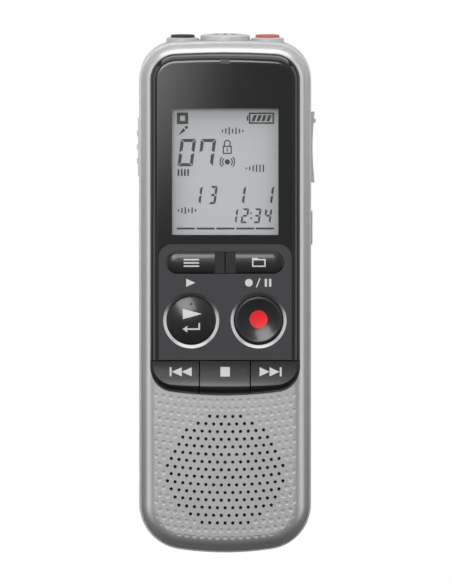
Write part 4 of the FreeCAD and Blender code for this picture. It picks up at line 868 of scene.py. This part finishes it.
def pill_key_piece(node, side, edge):
    """Half of the pill: a crown rolled over its rim, and a level step beside the split."""
    levels = [(pill_ring(PILL_REACH, PILL_Y, PILL_RADIUS, PILL_KEY_STEPS), MENU_LOW.z)]
    for turn in turns(12):
        inset = PILL_CREST * PILL_RADIUS * (1 - math.cos(turn))
        height = math.sqrt(1 - (1 - inset / PILL_RADIUS) ** 2)
        outline = pill_ring(PILL_REACH - inset, PILL_Y, PILL_RADIUS - inset, PILL_KEY_STEPS)
        levels.append((outline, MENU_HIGH.z - PILL_RISE + PILL_RISE * height))
    key = to_object(f"{node}_dressed", skin(levels))
    half = box_ring(*sorted((side * PILL_SPLIT, side * FAR)), PILL_Y - FAR, PILL_Y + FAR)
    carve(key, prism(half, MENU_LOW.z - MM, FACE + FAR), operation="INTERSECT")
    inner = box_ring(*sorted((0, side * PILL_STEP)), PILL_Y - FAR, PILL_Y + FAR)
    carve(key, prism(inner, MENU_HIGH.z - PILL_FLAT, FACE + FAR))
    break_edges(key, edge, steps=3, angle=40)
    return key


def play_dot_piece():
    """The raised dot that a fingertip finds on the play key."""
    profile = [(0, -DOT_TALL), (DOT_RADIUS, -DOT_TALL)]
    profile += [(DOT_RADIUS * math.cos(turn), DOT_TALL * math.sin(turn)) for turn in turns(3, 1.2)]
    profile.append((0, DOT_TALL))
    place = Matrix.Translation((PLAY_X, ROUND_Y + DOT_OUT, PLATEAU - DOT_SINK))
    return to_object("play_dot", lathe(profile, place, steps=24))


class RECORDER_OT_keys(bpy.types.Operator):
    """Makes the row of three keys, the two round keys and the two halves of the pill"""
    bl_idname = "recorder.keys"
    bl_label = "Keys"

    def execute(self, context):
        edge = context.scene.recorder_keys.edge
        black = key_black()
        for node in ROW_KEYS:
            finish_piece(row_key_piece(node, edge), black, node, [node])
        for node, shape in ROUND_KEYS.items():
            finish_piece(round_key_piece(node, shape), black, node, [node], sharp=50)
        finish_piece(play_dot_piece(), black, "play_button")
        for node, side in (("menu_button", -1), ("folder_button", 1)):
            finish_piece(pill_key_piece(node, side, edge), black, node, [node])
        return {"FINISHED"}


# ---------------------------------------------------------------- printed shapes

PRINT_PITCH = 0.4 * MM
PRINT_SINK = 1.5
ABOVE_ALL = 30 * MM


def printed(name, shapes, on, body, material, slot, height):
    """Thin printed shapes that follow the surface under them; each shape is a list of (x, y) points."""
    bm = bmesh.new()
    for points in shapes:
        bm.faces.new([bm.verts.new((x, y, 0)) for x, y in points])
    xs, ys = [v.co.x for v in bm.verts], [v.co.y for v in bm.verts]
    for normal, low, high in ((Vector((1, 0, 0)), min(xs), max(xs)), (Vector((0, 1, 0)), min(ys), max(ys))):
        place = low + PRINT_PITCH
        while place < high:
            everything = bm.verts[:] + bm.edges[:] + bm.faces[:]
            bmesh.ops.bisect_plane(bm, geom=everything, plane_co=normal * place, plane_no=normal, dist=1e-8)
            place += PRINT_PITCH
    bmesh.ops.triangulate(bm, faces=bm.faces)
    corners = [v.co[:] for v in on.data.vertices]
    tree = BVHTree.FromPolygons(corners, [p.vertices[:] for p in on.data.polygons])
    for vert in bm.verts:
        hit = tree.ray_cast(Vector((vert.co.x, vert.co.y, ABOVE_ALL)), Vector((0, 0, -1)))[0]
        if hit is None:
            raise RuntimeError(f"{name} lies off its surface")
        vert.co.z = hit.z + height
    for face in bm.faces:
        if face.normal.z < 0:
            face.normal_flip()
    extruded = bmesh.ops.extrude_face_region(bm, geom=bm.faces[:])
    moved = [g for g in extruded["geom"] if isinstance(g, bmesh.types.BMVert)]
    bmesh.ops.translate(bm, verts=moved, vec=(0, 0, -PRINT_SINK * height))
    return finish_piece(to_object(name, bm), material, body)


def triangle(x, y, wide, tall, way=1):
    """A triangle whose tip points to the right, or to the left where way is -1."""
    return [(x - way * wide / 2, y - tall / 2), (x + way * wide / 2, y), (x - way * wide / 2, y + tall / 2)]


def rectangle(x, y, wide, tall):
    return box_ring(x - wide / 2, x + wide / 2, y - tall / 2, y + tall / 2)


def stroke(x0, y0, x1, y1, wide):
    """A straight bar from one point to another."""
    run, rise = x1 - x0, y1 - y0
    size = math.hypot(run, rise)
    across, up = -rise / size * wide / 2, run / size * wide / 2
    return [(x0 - across, y0 - up), (x1 - across, y1 - up), (x1 + across, y1 + up), (x0 + across, y0 + up)]


def band(x, y, radius, wide, start, end):
    """Part of a ring."""
    outer, inner = radius + wide / 2, radius - wide / 2
    points = arc(x, y, outer, start, end, 16) + arc(x, y, outer, end, end, 1)
    return points + arc(x, y, inner, end, start, 16) + arc(x, y, inner, start, start, 1)


def outline_box(left, right, low, high, wide):
    """A rectangle drawn as four bars that meet without overlapping."""
    return [
        box_ring(left, right, low, low + wide),
        box_ring(left, right, high - wide, high),
        box_ring(left, left + wide, low + wide, high - wide),
        box_ring(right - wide, right, low + wide, high - wide),
    ]


# ---------------------------------------------------------------- marks on the keys and the key plate

MARK_Y, MARK_TALL = -16.2 * MM, 2.0 * MM
LABEL_Y = ROUND_Y + 8.35 * MM
PILL_MARK_X = 7.45 * MM


def menu_sign(x, y):
    """Three bars."""
    return [rectangle(x, y + step * 0.72 * MM, 3.4 * MM, 0.34 * MM) for step in (-1, 0, 1)]


def folder_sign(x, y):
    """A folder with its tab."""
    half, rise, wide = 1.5 * MM, 0.9 * MM, 0.3 * MM
    tab = rectangle(x - half + 0.65 * MM, y + rise + 0.08 * MM, 1.3 * MM, 0.22 * MM)
    return outline_box(x - half, x + half, y - rise, y + rise - 0.03 * MM, wide) + [tab]


def record_pause_sign(x, y):
    """A dot, a slanted bar and the two bars of a pause."""
    pause = [rectangle(x + off * MM, y, 0.5 * MM, 1.75 * MM) for off in (1.55, 2.5)]
    slash = stroke(x - 0.55 * MM, y - 1.0 * MM, x + 0.25 * MM, y + 1.0 * MM, 0.26 * MM)
    return [circle_ring(x - 2.2 * MM, y, 0.85 * MM, 32), slash, *pause]


def return_sign(x, y):
    """An arrow that turns back to the left."""
    wide, low = 0.36 * MM, y - 0.3 * MM
    return [
        triangle(x - 1.5 * MM, low, 1.1 * MM, 1.5 * MM, -1),
        rectangle(x + 0.45 * MM, low, 2.8 * MM, wide),
        rectangle(x + 1.67 * MM, y + 0.48 * MM, wide, 1.2 * MM),
    ]


def skip_sign(x, y, way):
    """Two triangles and a bar, pointing one way."""
    return [
        triangle(x - way * 1.25 * MM, y, 2.2 * MM, MARK_TALL, way),
        triangle(x + way * 0.95 * MM, y, 2.2 * MM, MARK_TALL, way),
        rectangle(x + way * 2.32 * MM, y, 0.42 * MM, MARK_TALL),
    ]


def key_marks():
    """Each mark on a key: its name, the key and its shapes."""
    return (
        ("rewind_mark", "rewind_key", skip_sign(-9.75 * MM, MARK_Y, -1)),
        ("forward_mark", "forward_key", skip_sign(9.97 * MM, MARK_Y, 1)),
        ("stop_mark", "stop_key", [rectangle(0, MARK_Y, 2.1 * MM, 2.1 * MM)]),
        ("play_mark", "play_button", [triangle(PLAY_X + 0.25 * MM, ROUND_Y + 1.46 * MM, 4.2 * MM, 2.3 * MM)]),
        ("record_mark", "record_button", [circle_ring(RECORD_X, ROUND_Y + 0.2 * MM, 2.0 * MM, 48)]),
        ("return_mark", "play_button", return_sign(PLAY_X + 0.1 * MM, ROUND_Y - 1.6 * MM)),
        ("menu_mark", "menu_button", menu_sign(-PILL_MARK_X, PILL_Y)),
        ("folder_mark", "folder_button", folder_sign(PILL_MARK_X, PILL_Y)),
    )


class RECORDER_OT_marks(bpy.types.Operator):
    """Prints the transport signs and plain picture signs on the keys and the key plate"""
    bl_idname = "recorder.marks"
    bl_label = "Marks"

    def execute(self, context):
        height = context.scene.recorder_keys.print_height
        dressed = bpy.data.objects
        white, red = (plain("print_white"), "white_plastic"), (plain("print_red"), "jack_red")
        for name, key, shapes in key_marks():
            ink = red if name == "record_mark" else white
            printed(name, shapes, dressed[f"{key}_dressed"], key, *ink, height)
        signs = [triangle(-7.6 * MM, LABEL_Y, 2.0 * MM, 1.8 * MM), *record_pause_sign(PILL_MARK_X, LABEL_Y)]
        printed("plate_marks", signs, dressed["key_plate_dressed"], CASE, *white, height)
        return {"FINISHED"}


# ---------------------------------------------------------------- display

SEGMENTS = {"0": "abcdef", "1": "bc", "2": "abged", "3": "abgcd", "4": "fgbc", "7": "fabc"}
SLANT = 0.13
SEGMENT_GAP = 0.16
SIGN_WIDE = 0.26 * MM
CELL_EDGE, INK_HEIGHT = 0.15 * MM, 0.02 * MM

# Each row of digits in mm: width, height and thickness, the row's lower end, and where each digit starts
DIGIT_ROWS = (
    (3.35, 6.06, 0.70, 29.23, (("0", -10.55), ("7", -6.10))),
    (1.60, 4.03, 0.50, 20.86, (("1", -7.05), ("3", -3.75), ("1", 2.55), ("1", 8.75))),
    (1.50, 3.28, 0.42, 16.63, (("1", 1.00), ("2", 3.40), ("3", 6.10), ("4", 8.50))),
)
# Each wave in mm: its first bar's place, the pitch and width of its bars, and their heights
WAVES = (
    (-0.6, 37.04, 0.75, 0.30, (0.6, 1.2, 1.7, 0.9, 1.5, 1.0, 0.5)),
    (4.7, 28.78, 0.75, 0.30, (0.4, 0.9, 1.3, 1.6, 1.6, 1.6)),
    (-10.3, 27.85, 0.70, 0.38, (1.5, 1.5, 1.5, 1.5)),
    (-10.3, 19.46, 0.75, 0.30, (0.5, 1.1, 1.5, 0.8, 1.3, 0.6)),
)


def seven_segments(digit, x, y, wide, tall, thick):
    """The lit bars of one slanted digit whose lower left corner is at (x, y)."""
    gap, middle, half = thick * SEGMENT_GAP, tall / 2, thick / 2
    long_left, long_right = gap + thick, wide - gap - thick
    bars = {
        "a": [(gap, tall), (wide - gap, tall), (long_right, tall - thick), (long_left, tall - thick)],
        "d": [(gap, 0), (long_left, thick), (long_right, thick), (wide - gap, 0)],
        "g": [(gap + half, middle), (long_left, middle + half), (long_right, middle + half),
              (wide - gap - half, middle), (long_right, middle - half), (long_left, middle - half)],
    }
    for upper, lower, edge, inner in (("f", "e", 0, thick), ("b", "c", wide, wide - thick)):
        bars[upper] = [(edge, tall - gap), (inner, tall - gap - thick), (inner, middle + gap + half),
                       (edge, middle + gap)]
        bars[lower] = [(edge, gap), (inner, gap + thick), (inner, middle - gap - half), (edge, middle - gap)]
    return [[(x + px + SLANT * py, y + py) for px, py in bars[bar]] for bar in SEGMENTS[digit]]


def battery_sign(left, right, low, high):
    """A full battery: its outline, its nub and four slanted bars."""
    wide = 0.36 * MM
    shapes = outline_box(left, right, low, high, wide)
    shapes.append(rectangle(left - 0.28 * MM, (low + high) / 2, wide, 1.1 * MM))
    pitch, thick, lean = 1.08 * MM, 0.75 * MM, 0.5 * MM
    bottom, top = low + 0.58 * MM, high - 0.58 * MM
    for k in range(4):
        start = left + 0.55 * MM + pitch * k
        end = start + thick
        shapes.append([(start, bottom), (end, bottom), (end + lean, top), (start + lean, top)])
    return shapes


def lock_sign(x, y):
    """A padlock with its keyhole."""
    half, tall, loop = 1.0 * MM, 1.8 * MM, 0.62 * MM
    shapes = outline_box(x - half, x + half, y, y + tall, SIGN_WIDE)
    shapes.append(band(x, y + tall + loop, loop, SIGN_WIDE, 0, math.pi))
    shapes += [rectangle(x + side * loop, y + tall + loop / 2, SIGN_WIDE, loop) for side in (-1, 1)]
    shapes.append(rectangle(x, y + tall / 2, SIGN_WIDE, 0.7 * MM))
    return shapes


def sound_sign(x, y):
    """A dot between two pairs of arcs."""
    spread = 0.75
    shapes = [circle_ring(x, y, 0.58 * MM, 32)]
    for radius in (1.08 * MM, 1.6 * MM):
        for middle in (0, math.pi):
            shapes.append(band(x, y, radius, 0.25 * MM, middle - spread, middle + spread))
    return shapes


def voice_sign(x, y):
    """A hand microphone that leans to the right."""
    tip, head = -1.0 * MM, 0.42 * MM
    near, far = head - 0.34 * MM, head + 0.2 * MM
    body = [(x + tip, y + tip), (x + far, y + near), (x + near, y + far)]
    return [body, circle_ring(x + 0.78 * MM, y + 0.78 * MM, 0.36 * MM, 24)]


def display_signs():
    """The whole picture on the display, in plain numbers and signs."""
    shapes = []
    for wide, tall, thick, low, digits in DIGIT_ROWS:
        for digit, x in digits:
            shapes += seven_segments(digit, x * MM, low * MM, wide * MM, tall * MM, thick * MM)
    shapes += [rectangle(5.72 * MM, y * MM, 0.36 * MM, 0.36 * MM) for y in (17.7, 18.85)]
    shapes += battery_sign(5.24 * MM, 10.81 * MM, 38.61 * MM, 41.12 * MM)
    shapes += outline_box(-10.66 * MM, -8.18 * MM, 38.57 * MM, 41.12 * MM, 0.7 * MM)
    shapes += voice_sign(-9.35 * MM, 37.05 * MM)
    shapes += lock_sign(0.47 * MM, 31.96 * MM)
    shapes += sound_sign(0.5 * MM, 30.2 * MM)
    for x, y, pitch, wide, heights in WAVES:
        for k, tall in enumerate(heights):
            shapes.append(rectangle((x + k * pitch) * MM, y * MM, wide * MM, tall * MM))
    shapes += [rectangle((-8.67 + 4.365 * k) * MM, 15.45 * MM, 3.99 * MM, 0.42 * MM) for k in range(5)]
    return shapes


class RECORDER_OT_display(bpy.types.Operator):
    """Makes the liquid crystal cell and its plain digits and signs"""
    bl_idname = "recorder.display"
    bl_label = "Display"

    def execute(self, context):
        low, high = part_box("lcd_glass")
        cell = to_object("lcd_cell", prism(box_ring(low.x, high.x, low.y, high.y), low.z, high.z))
        break_edges(cell, CELL_EDGE)
        finish_piece(cell, plain("lcd_ground"), CASE, ["lcd_glass"])
        printed("lcd_signs", display_signs(), cell, CASE, plain("lcd_ink"), "lcd_glass", INK_HEIGHT)
        return {"FINISHED"}


# ---------------------------------------------------------------- ends and insides

DOME_RIM, DOME_ROLL, DOME_RISE = 0.75 * MM, 0.35 * MM, 0.38 * MM
DOME_WALL, DOME_ROOF = 0.5 * MM, 0.1 * MM
GAUZE_DROP, GAUZE_GAP, GAUZE_SEAT = 0.07 * MM, 0.02 * MM, 0.2 * MM
SLOTS, SLOT_IN, SLOT_OUT, SLOT_HALF, SLOT_DEEP = 10, 1.9 * MM, 3.9 * MM, 0.38 * MM, 0.5 * MM
COLLAR_BORE, COLLAR_OUT, COLLAR_ROOT, COLLAR_DROP = 2.72 * MM, 3.64 * MM, 0.5 * MM, 0.2 * MM
NOSE_BORE, NOSE_OUT, NOSE_ROOT, NOSE_RISE = 1.78 * MM, 2.66 * MM, 0.6 * MM, 0.42 * MM
NOSE_SOFT, NOSE_LIP = 0.3 * MM, 0.12 * MM

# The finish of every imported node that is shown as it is, apart from the lacquered ones and the lamp's window
NODE_FINISHES = {
    "socket_black": ("headphone_jack",),
    "socket_red": ("microphone_jack",),
    "bright_steel": (
        "terminal_contacts", "bridge_contact", "case_screws", "clock_crystal", "speaker_magnet",
        "speaker_frame", "key_domes", "mic_capsule",
    ),
    "silicone": ("key_mat", "mic_holder", "zebra_strips"),
    "chip_black": (
        "processor_chip", "memory_chip", "side_switches", "slide_switch", "speaker_cone", "dust_screen",
    ),
    "solder_mask": ("main_board",),
    "white_plastic": ("lcd_frame", "led_lamp"),
    "cell_jacket": ("battery_left", "battery_right"),
}


def along_y(x):
    """A frame at x whose Z axis points out of the microphone end."""
    return Matrix.Translation((x, 0, END_AXIS)) @ Matrix.Rotation(-math.pi / 2, 4, "X")


def slot_tool(low, high, inset=0.0):
    """The radial slots of the microphone's dome."""
    outline = box_ring(SLOT_IN + inset, SLOT_OUT - inset, inset - SLOT_HALF, SLOT_HALF - inset)
    bm = bmesh.new()
    for k in range(SLOTS):
        turn = Matrix.Rotation(2 * math.pi / SLOTS * (k + 0.5), 2)
        prism([turn @ Vector(point) for point in outline], low, high, bm)
    bm.transform(along_y(0))
    return bm


def mic_dome_pieces():
    """The low dome over the microphone, with a rolled rim and radial slots, and the gauze under the slots."""
    radius, seat, top = MIC_HIGH.x, MIC_LOW.y, MIC_HIGH.y
    rim, reach = top - DOME_RIM, radius - DOME_ROLL
    profile = [(0, seat), (radius, seat), (radius, rim)]
    profile += roll(reach, rim, DOME_ROLL, turns(4)[1:])
    profile += crown(reach, rim + DOME_ROLL, DOME_RISE, 10)
    inner, roof = reach - DOME_WALL, rim - DOME_ROOF
    void = lathe([(0, seat - MM), (inner, seat - MM), (inner, roof), (0, roof)], along_y(0))
    dome = to_object("mic_dome", lathe(profile, along_y(0)))
    carve(dome, void, slot_tool(rim - SLOT_DEEP, top + MM))
    lowered = [(out, max(height - GAUZE_DROP, seat)) for out, height in profile]
    gauze = to_object("mic_gauze", lathe(lowered, along_y(0)))
    carve(gauze, slot_tool(seat + GAUZE_SEAT, top + MM, GAUZE_GAP), operation="INTERSECT")
    return dome, gauze


def collar_piece(name, x):
    """The sloped collar round a jack."""
    root, top = BODY.top - COLLAR_ROOT, JACK_TOP - COLLAR_DROP
    bore, out = COLLAR_BORE, COLLAR_OUT
    loop = [
        (bore, root), (out, root), (out, top - 0.22 * MM), (out - 0.12 * MM, top - 0.14 * MM),
        (bore + 0.3 * MM, top), (bore + 0.1 * MM, top + 0.01 * MM), (bore, top),
    ]
    return to_object(name, hoop(loop, along_y(x), steps=96))


def nose_piece(name, x):
    """The rounded nose of a jack, round its bore."""
    root, top = JACK_TOP - NOSE_ROOT, JACK_TOP + NOSE_RISE
    loop = [(NOSE_BORE, root), (NOSE_OUT, root)]
    loop += roll(NOSE_OUT - NOSE_SOFT, top - NOSE_SOFT, NOSE_SOFT, turns(5))
    loop += [(NOSE_BORE + NOSE_LIP, top), (NOSE_BORE, top - NOSE_LIP)]
    return to_object(name, hoop(loop, along_y(x), steps=96))


class RECORDER_OT_ends(bpy.types.Operator):
    """Finishes the jacks, the microphone's dome and the parts inside"""
    bl_idname = "recorder.ends"
    bl_label = "Ends and insides"

    def execute(self, context):
        silver, black, red = end_lacquer(), plain("socket_black"), plain("socket_red")
        for end, nose, slot in (("headphone", black, "black_matte"), ("microphone", red, "jack_red")):
            x = middle_x(f"{end}_jack")
            finish_piece(nose_piece(f"{end}_nose", x), nose, CASE)
            finish_piece(collar_piece(f"{end}_collar", x), silver, CASE)
        dome, gauze = mic_dome_pieces()
        finish_piece(dome, silver, CASE, ["mic_cap"])
        finish_piece(gauze, black, CASE)
        for finish, nodes in NODE_FINISHES.items():
            for node in nodes:
                dress_node(node, plain(finish))
        return {"FINISHED"}


# ---------------------------------------------------------------- stage

FLOOR_REACH, FLOOR_DROP = 3.0, 0.05 * MM
FLOOR_SPECKLE, FLOOR_UNEVEN, FLOOR_ROUGH = 40, 0.04, 0.8
FLOOR_FADE, FLOOR_DARK, FLOOR_PALE = 0.06, (0.16, 0.16, 0.16, 1), (0.85, 0.85, 0.85, 1)
WORLD_FADE, WORLD_FOOT, WORLD_HEAD = 0.8, 0.25, 1.5
SHEEN_PLACE, SHEEN_HALF = (-0.034, 0.022, FACE + 0.9), (0.040, 0.073)
SENSOR_WIDTH = 36
CLIP_END = 10

# Each soft light: where it stands, its width and height, and the stage's power that it takes and its share
SoftLight = namedtuple("SoftLight", "place size power share")
SOFT_LIGHTS = {
    "key_light": SoftLight((-0.13, 0.27, 0.95), (0.36, 0.36), "key_power", 1),
    "top_light": SoftLight((0, 0.87, 0.235), (1.3, 0.25), "top_power", 1),
    "upper_light": SoftLight((0, 0.755, 0.51), (1.3, 0.3), "top_power", 0.5),
    "left_light": SoftLight((-0.79, 0.1, 0.42), (1.0, 0.5), "side_power", 1),
    "right_light": SoftLight((0.79, 0.1, 0.42), (1.0, 0.5), "side_power", 1),
}


def show_to_camera(tree, lit, glow, output):
    """Shows the glow where the camera looks straight at the surface, and the lit shader to all else."""
    path, blend = add_node(tree, "LightPath"), add_node(tree, "MixShader")
    link(
        tree,
        (path, "Is Camera Ray", blend, "Fac"), (lit, 0, blend, 1), (glow, 0, blend, 2),
        (blend, 0, tree.nodes[output], "Surface"),
    )


def floor_material():
    """A floor that is pale beyond the microphone end and dark beyond the foot, and white to the camera."""
    material, tree, shader = node_material("pale_floor")
    coordinates, apart = add_node(tree, "TexCoord"), add_node(tree, "SeparateXYZ")
    along = ramp(tree, -FLOOR_FADE, FLOOR_FADE)
    noise = add_node(tree, "TexNoise", {"Scale": FLOOR_SPECKLE})
    uneven = add_node(tree, "Math", {1: FLOOR_UNEVEN}, operation="MULTIPLY_ADD")
    shade = add_node(tree, "Mix", {"A": FLOOR_DARK, "B": FLOOR_PALE}, data_type="RGBA")
    shader.inputs["Roughness"].default_value = FLOOR_ROUGH
    link(
        tree,
        (coordinates, "Object", apart, "Vector"), (coordinates, "Object", noise, "Vector"),
        (apart, "Y", along, "Value"), (noise, "Fac", uneven, 0), (along, "Result", uneven, 2),
        (uneven, 0, shade, "Factor"), (shade, "Result", shader, "Base Color"),
    )
    show_to_camera(tree, shader, add_node(tree, "Emission"), "Material Output")
    return material


def sheen_material():
    """A glow that fades from the middle of its card to nothing at the rim."""
    material, tree, shader = node_material("sheen_glow")
    tree.nodes.remove(shader)
    coordinates = add_node(tree, "TexCoord")
    reach = add_node(tree, "VectorMath", operation="LENGTH")
    fade = ramp(tree, 0, 1, bpy.context.scene.recorder_stage.sheen, 0, interpolation_type="SMOOTHSTEP")
    glow, clear = add_node(tree, "Emission"), add_node(tree, "BsdfTransparent")
    both = add_node(tree, "AddShader")
    link(
        tree,
        (coordinates, "Object", reach, 0), (reach, "Value", fade, "Value"),
        (fade, "Result", glow, "Strength"), (glow, 0, both, 0), (clear, 0, both, 1),
        (both, 0, tree.nodes["Material Output"], "Surface"),
    )
    return material


def studio_world(look):
    """Dim near the horizon, brighter overhead and beyond the microphone end, and white to the camera."""
    world = bpy.data.worlds.new("studio")
    world.use_nodes = True
    tree = world.node_tree
    around = tree.nodes["Background"]
    white = add_node(tree, "Background")
    for background in (around, white):
        background.inputs["Color"].default_value = (1, 1, 1, 1)
    coordinates, apart = add_node(tree, "TexCoord"), add_node(tree, "SeparateXYZ")
    rise = ramp(tree, 0, 1, look.horizon, look.zenith)
    along = ramp(tree, -WORLD_FADE, WORLD_FADE, WORLD_FOOT, WORLD_HEAD)
    both = add_node(tree, "Math", operation="MULTIPLY")
    link(
        tree,
        (coordinates, "Generated", apart, "Vector"), (apart, "Z", rise, "Value"),
        (apart, "Y", along, "Value"), (rise, "Result", both, 0), (along, "Result", both, 1),
        (both, 0, around, "Strength"),
    )
    show_to_camera(tree, around, white, "World Output")
    return world


def level_sheet(name, half, material):
    """One level face round its own origin."""
    bm = bmesh.new()
    bm.faces.new([bm.verts.new((x, y, 0)) for x, y in box_ring(-half, half, -half, half)])
    sheet = to_object(name, bm)
    sheet.data.materials.append(material)
    return sheet


def sheen_card():
    """A card that only reflections see; its own coordinates run from -1 to 1."""
    sheet = level_sheet("sheen_card", 1, sheen_material())
    sheet.location = SHEEN_PLACE
    sheet.scale = (*SHEEN_HALF, 1)
    sheet.visible_camera = False
    sheet.visible_diffuse = False
    sheet.visible_shadow = False


def soft_light(name, row, power):
    data = bpy.data.lights.new(name, "AREA")
    data.shape = "RECTANGLE"
    data.size, data.size_y = row.size
    data.energy = power
    lamp = bpy.data.objects.new(name, data)
    lamp.location = row.place
    lamp.rotation_euler = (Vector((0, 0, FACE)) - Vector(row.place)).to_track_quat("-Z", "Y").to_euler()
    bpy.context.scene.collection.objects.link(lamp)


def camera(look):
    data = bpy.data.cameras.new("camera")
    data.sensor_fit = "HORIZONTAL"
    data.sensor_width = SENSOR_WIDTH
    data.lens = SENSOR_WIDTH * look.distance / look.view_width
    data.clip_end = CLIP_END
    made = bpy.data.objects.new("camera", data)
    back, up = look.distance * math.sin(look.tilt), look.distance * math.cos(look.tilt)
    made.location = (look.aim_x, look.aim_y + back, FACE + up)
    made.rotation_euler = (-look.tilt, 0, 0)
    bpy.context.scene.collection.objects.link(made)
    return made


class RECORDER_OT_stage(bpy.types.Operator):
    """Sets up the floor, the soft lights and the camera"""
    bl_idname = "recorder.stage"
    bl_label = "Stage"

    def execute(self, context):
        scene, look = context.scene, context.scene.recorder_stage
        floor = level_sheet("floor", FLOOR_REACH, floor_material())
        floor.location.z = CAD_BOX[0][2] - FLOOR_DROP
        for name, row in SOFT_LIGHTS.items():
            soft_light(name, row, getattr(look, row.power) * row.share)
        sheen_card()
        scene.world = studio_world(look)
        scene.camera = camera(look)
        scene.view_settings.view_transform = "Standard"
        return {"FINISHED"}


# ---------------------------------------------------------------- add-on


class RECORDER_PT_panel(bpy.types.Panel):
    """Lists the steps that dress the recorder"""
    bl_idname = "RECORDER_PT_panel"
    bl_label = "Recorder"
    bl_space_type = "VIEW_3D"
    bl_region_type = "UI"
    bl_category = "Recorder"

    def draw(self, context):
        for operator in OPERATORS:
            self.layout.operator(operator.bl_idname)
        for name in GROUPS:
            group = getattr(context.scene, name)
            for prop in group.__annotations__:
                self.layout.prop(group, prop)


GROUPS = {
    "recorder_shells": RecorderShells,
    "recorder_panel": RecorderPanel,
    "recorder_keys": RecorderKeys,
    "recorder_stage": RecorderStage,
}
OPERATORS = (
    RECORDER_OT_shells, RECORDER_OT_panel, RECORDER_OT_keys, RECORDER_OT_marks, RECORDER_OT_display,
    RECORDER_OT_ends, RECORDER_OT_stage,
)


def register():
    for name, group in GROUPS.items():
        bpy.utils.register_class(group)
        setattr(bpy.types.Scene, name, bpy.props.PointerProperty(type=group))
    for cls in (*OPERATORS, RECORDER_PT_panel):
        bpy.utils.register_class(cls)


def unregister():
    for cls in (*OPERATORS, RECORDER_PT_panel):
        bpy.utils.unregister_class(cls)
    for name, group in GROUPS.items():
        delattr(bpy.types.Scene, name)
        bpy.utils.unregister_class(group)


def main():
    register()
    bpy.ops.recorder.shells()
    bpy.ops.recorder.panel()
    bpy.ops.recorder.keys()
    bpy.ops.recorder.marks()
    bpy.ops.recorder.display()
    bpy.ops.recorder.ends()
    bpy.ops.recorder.stage()


if __name__ == "__main__":
    main()
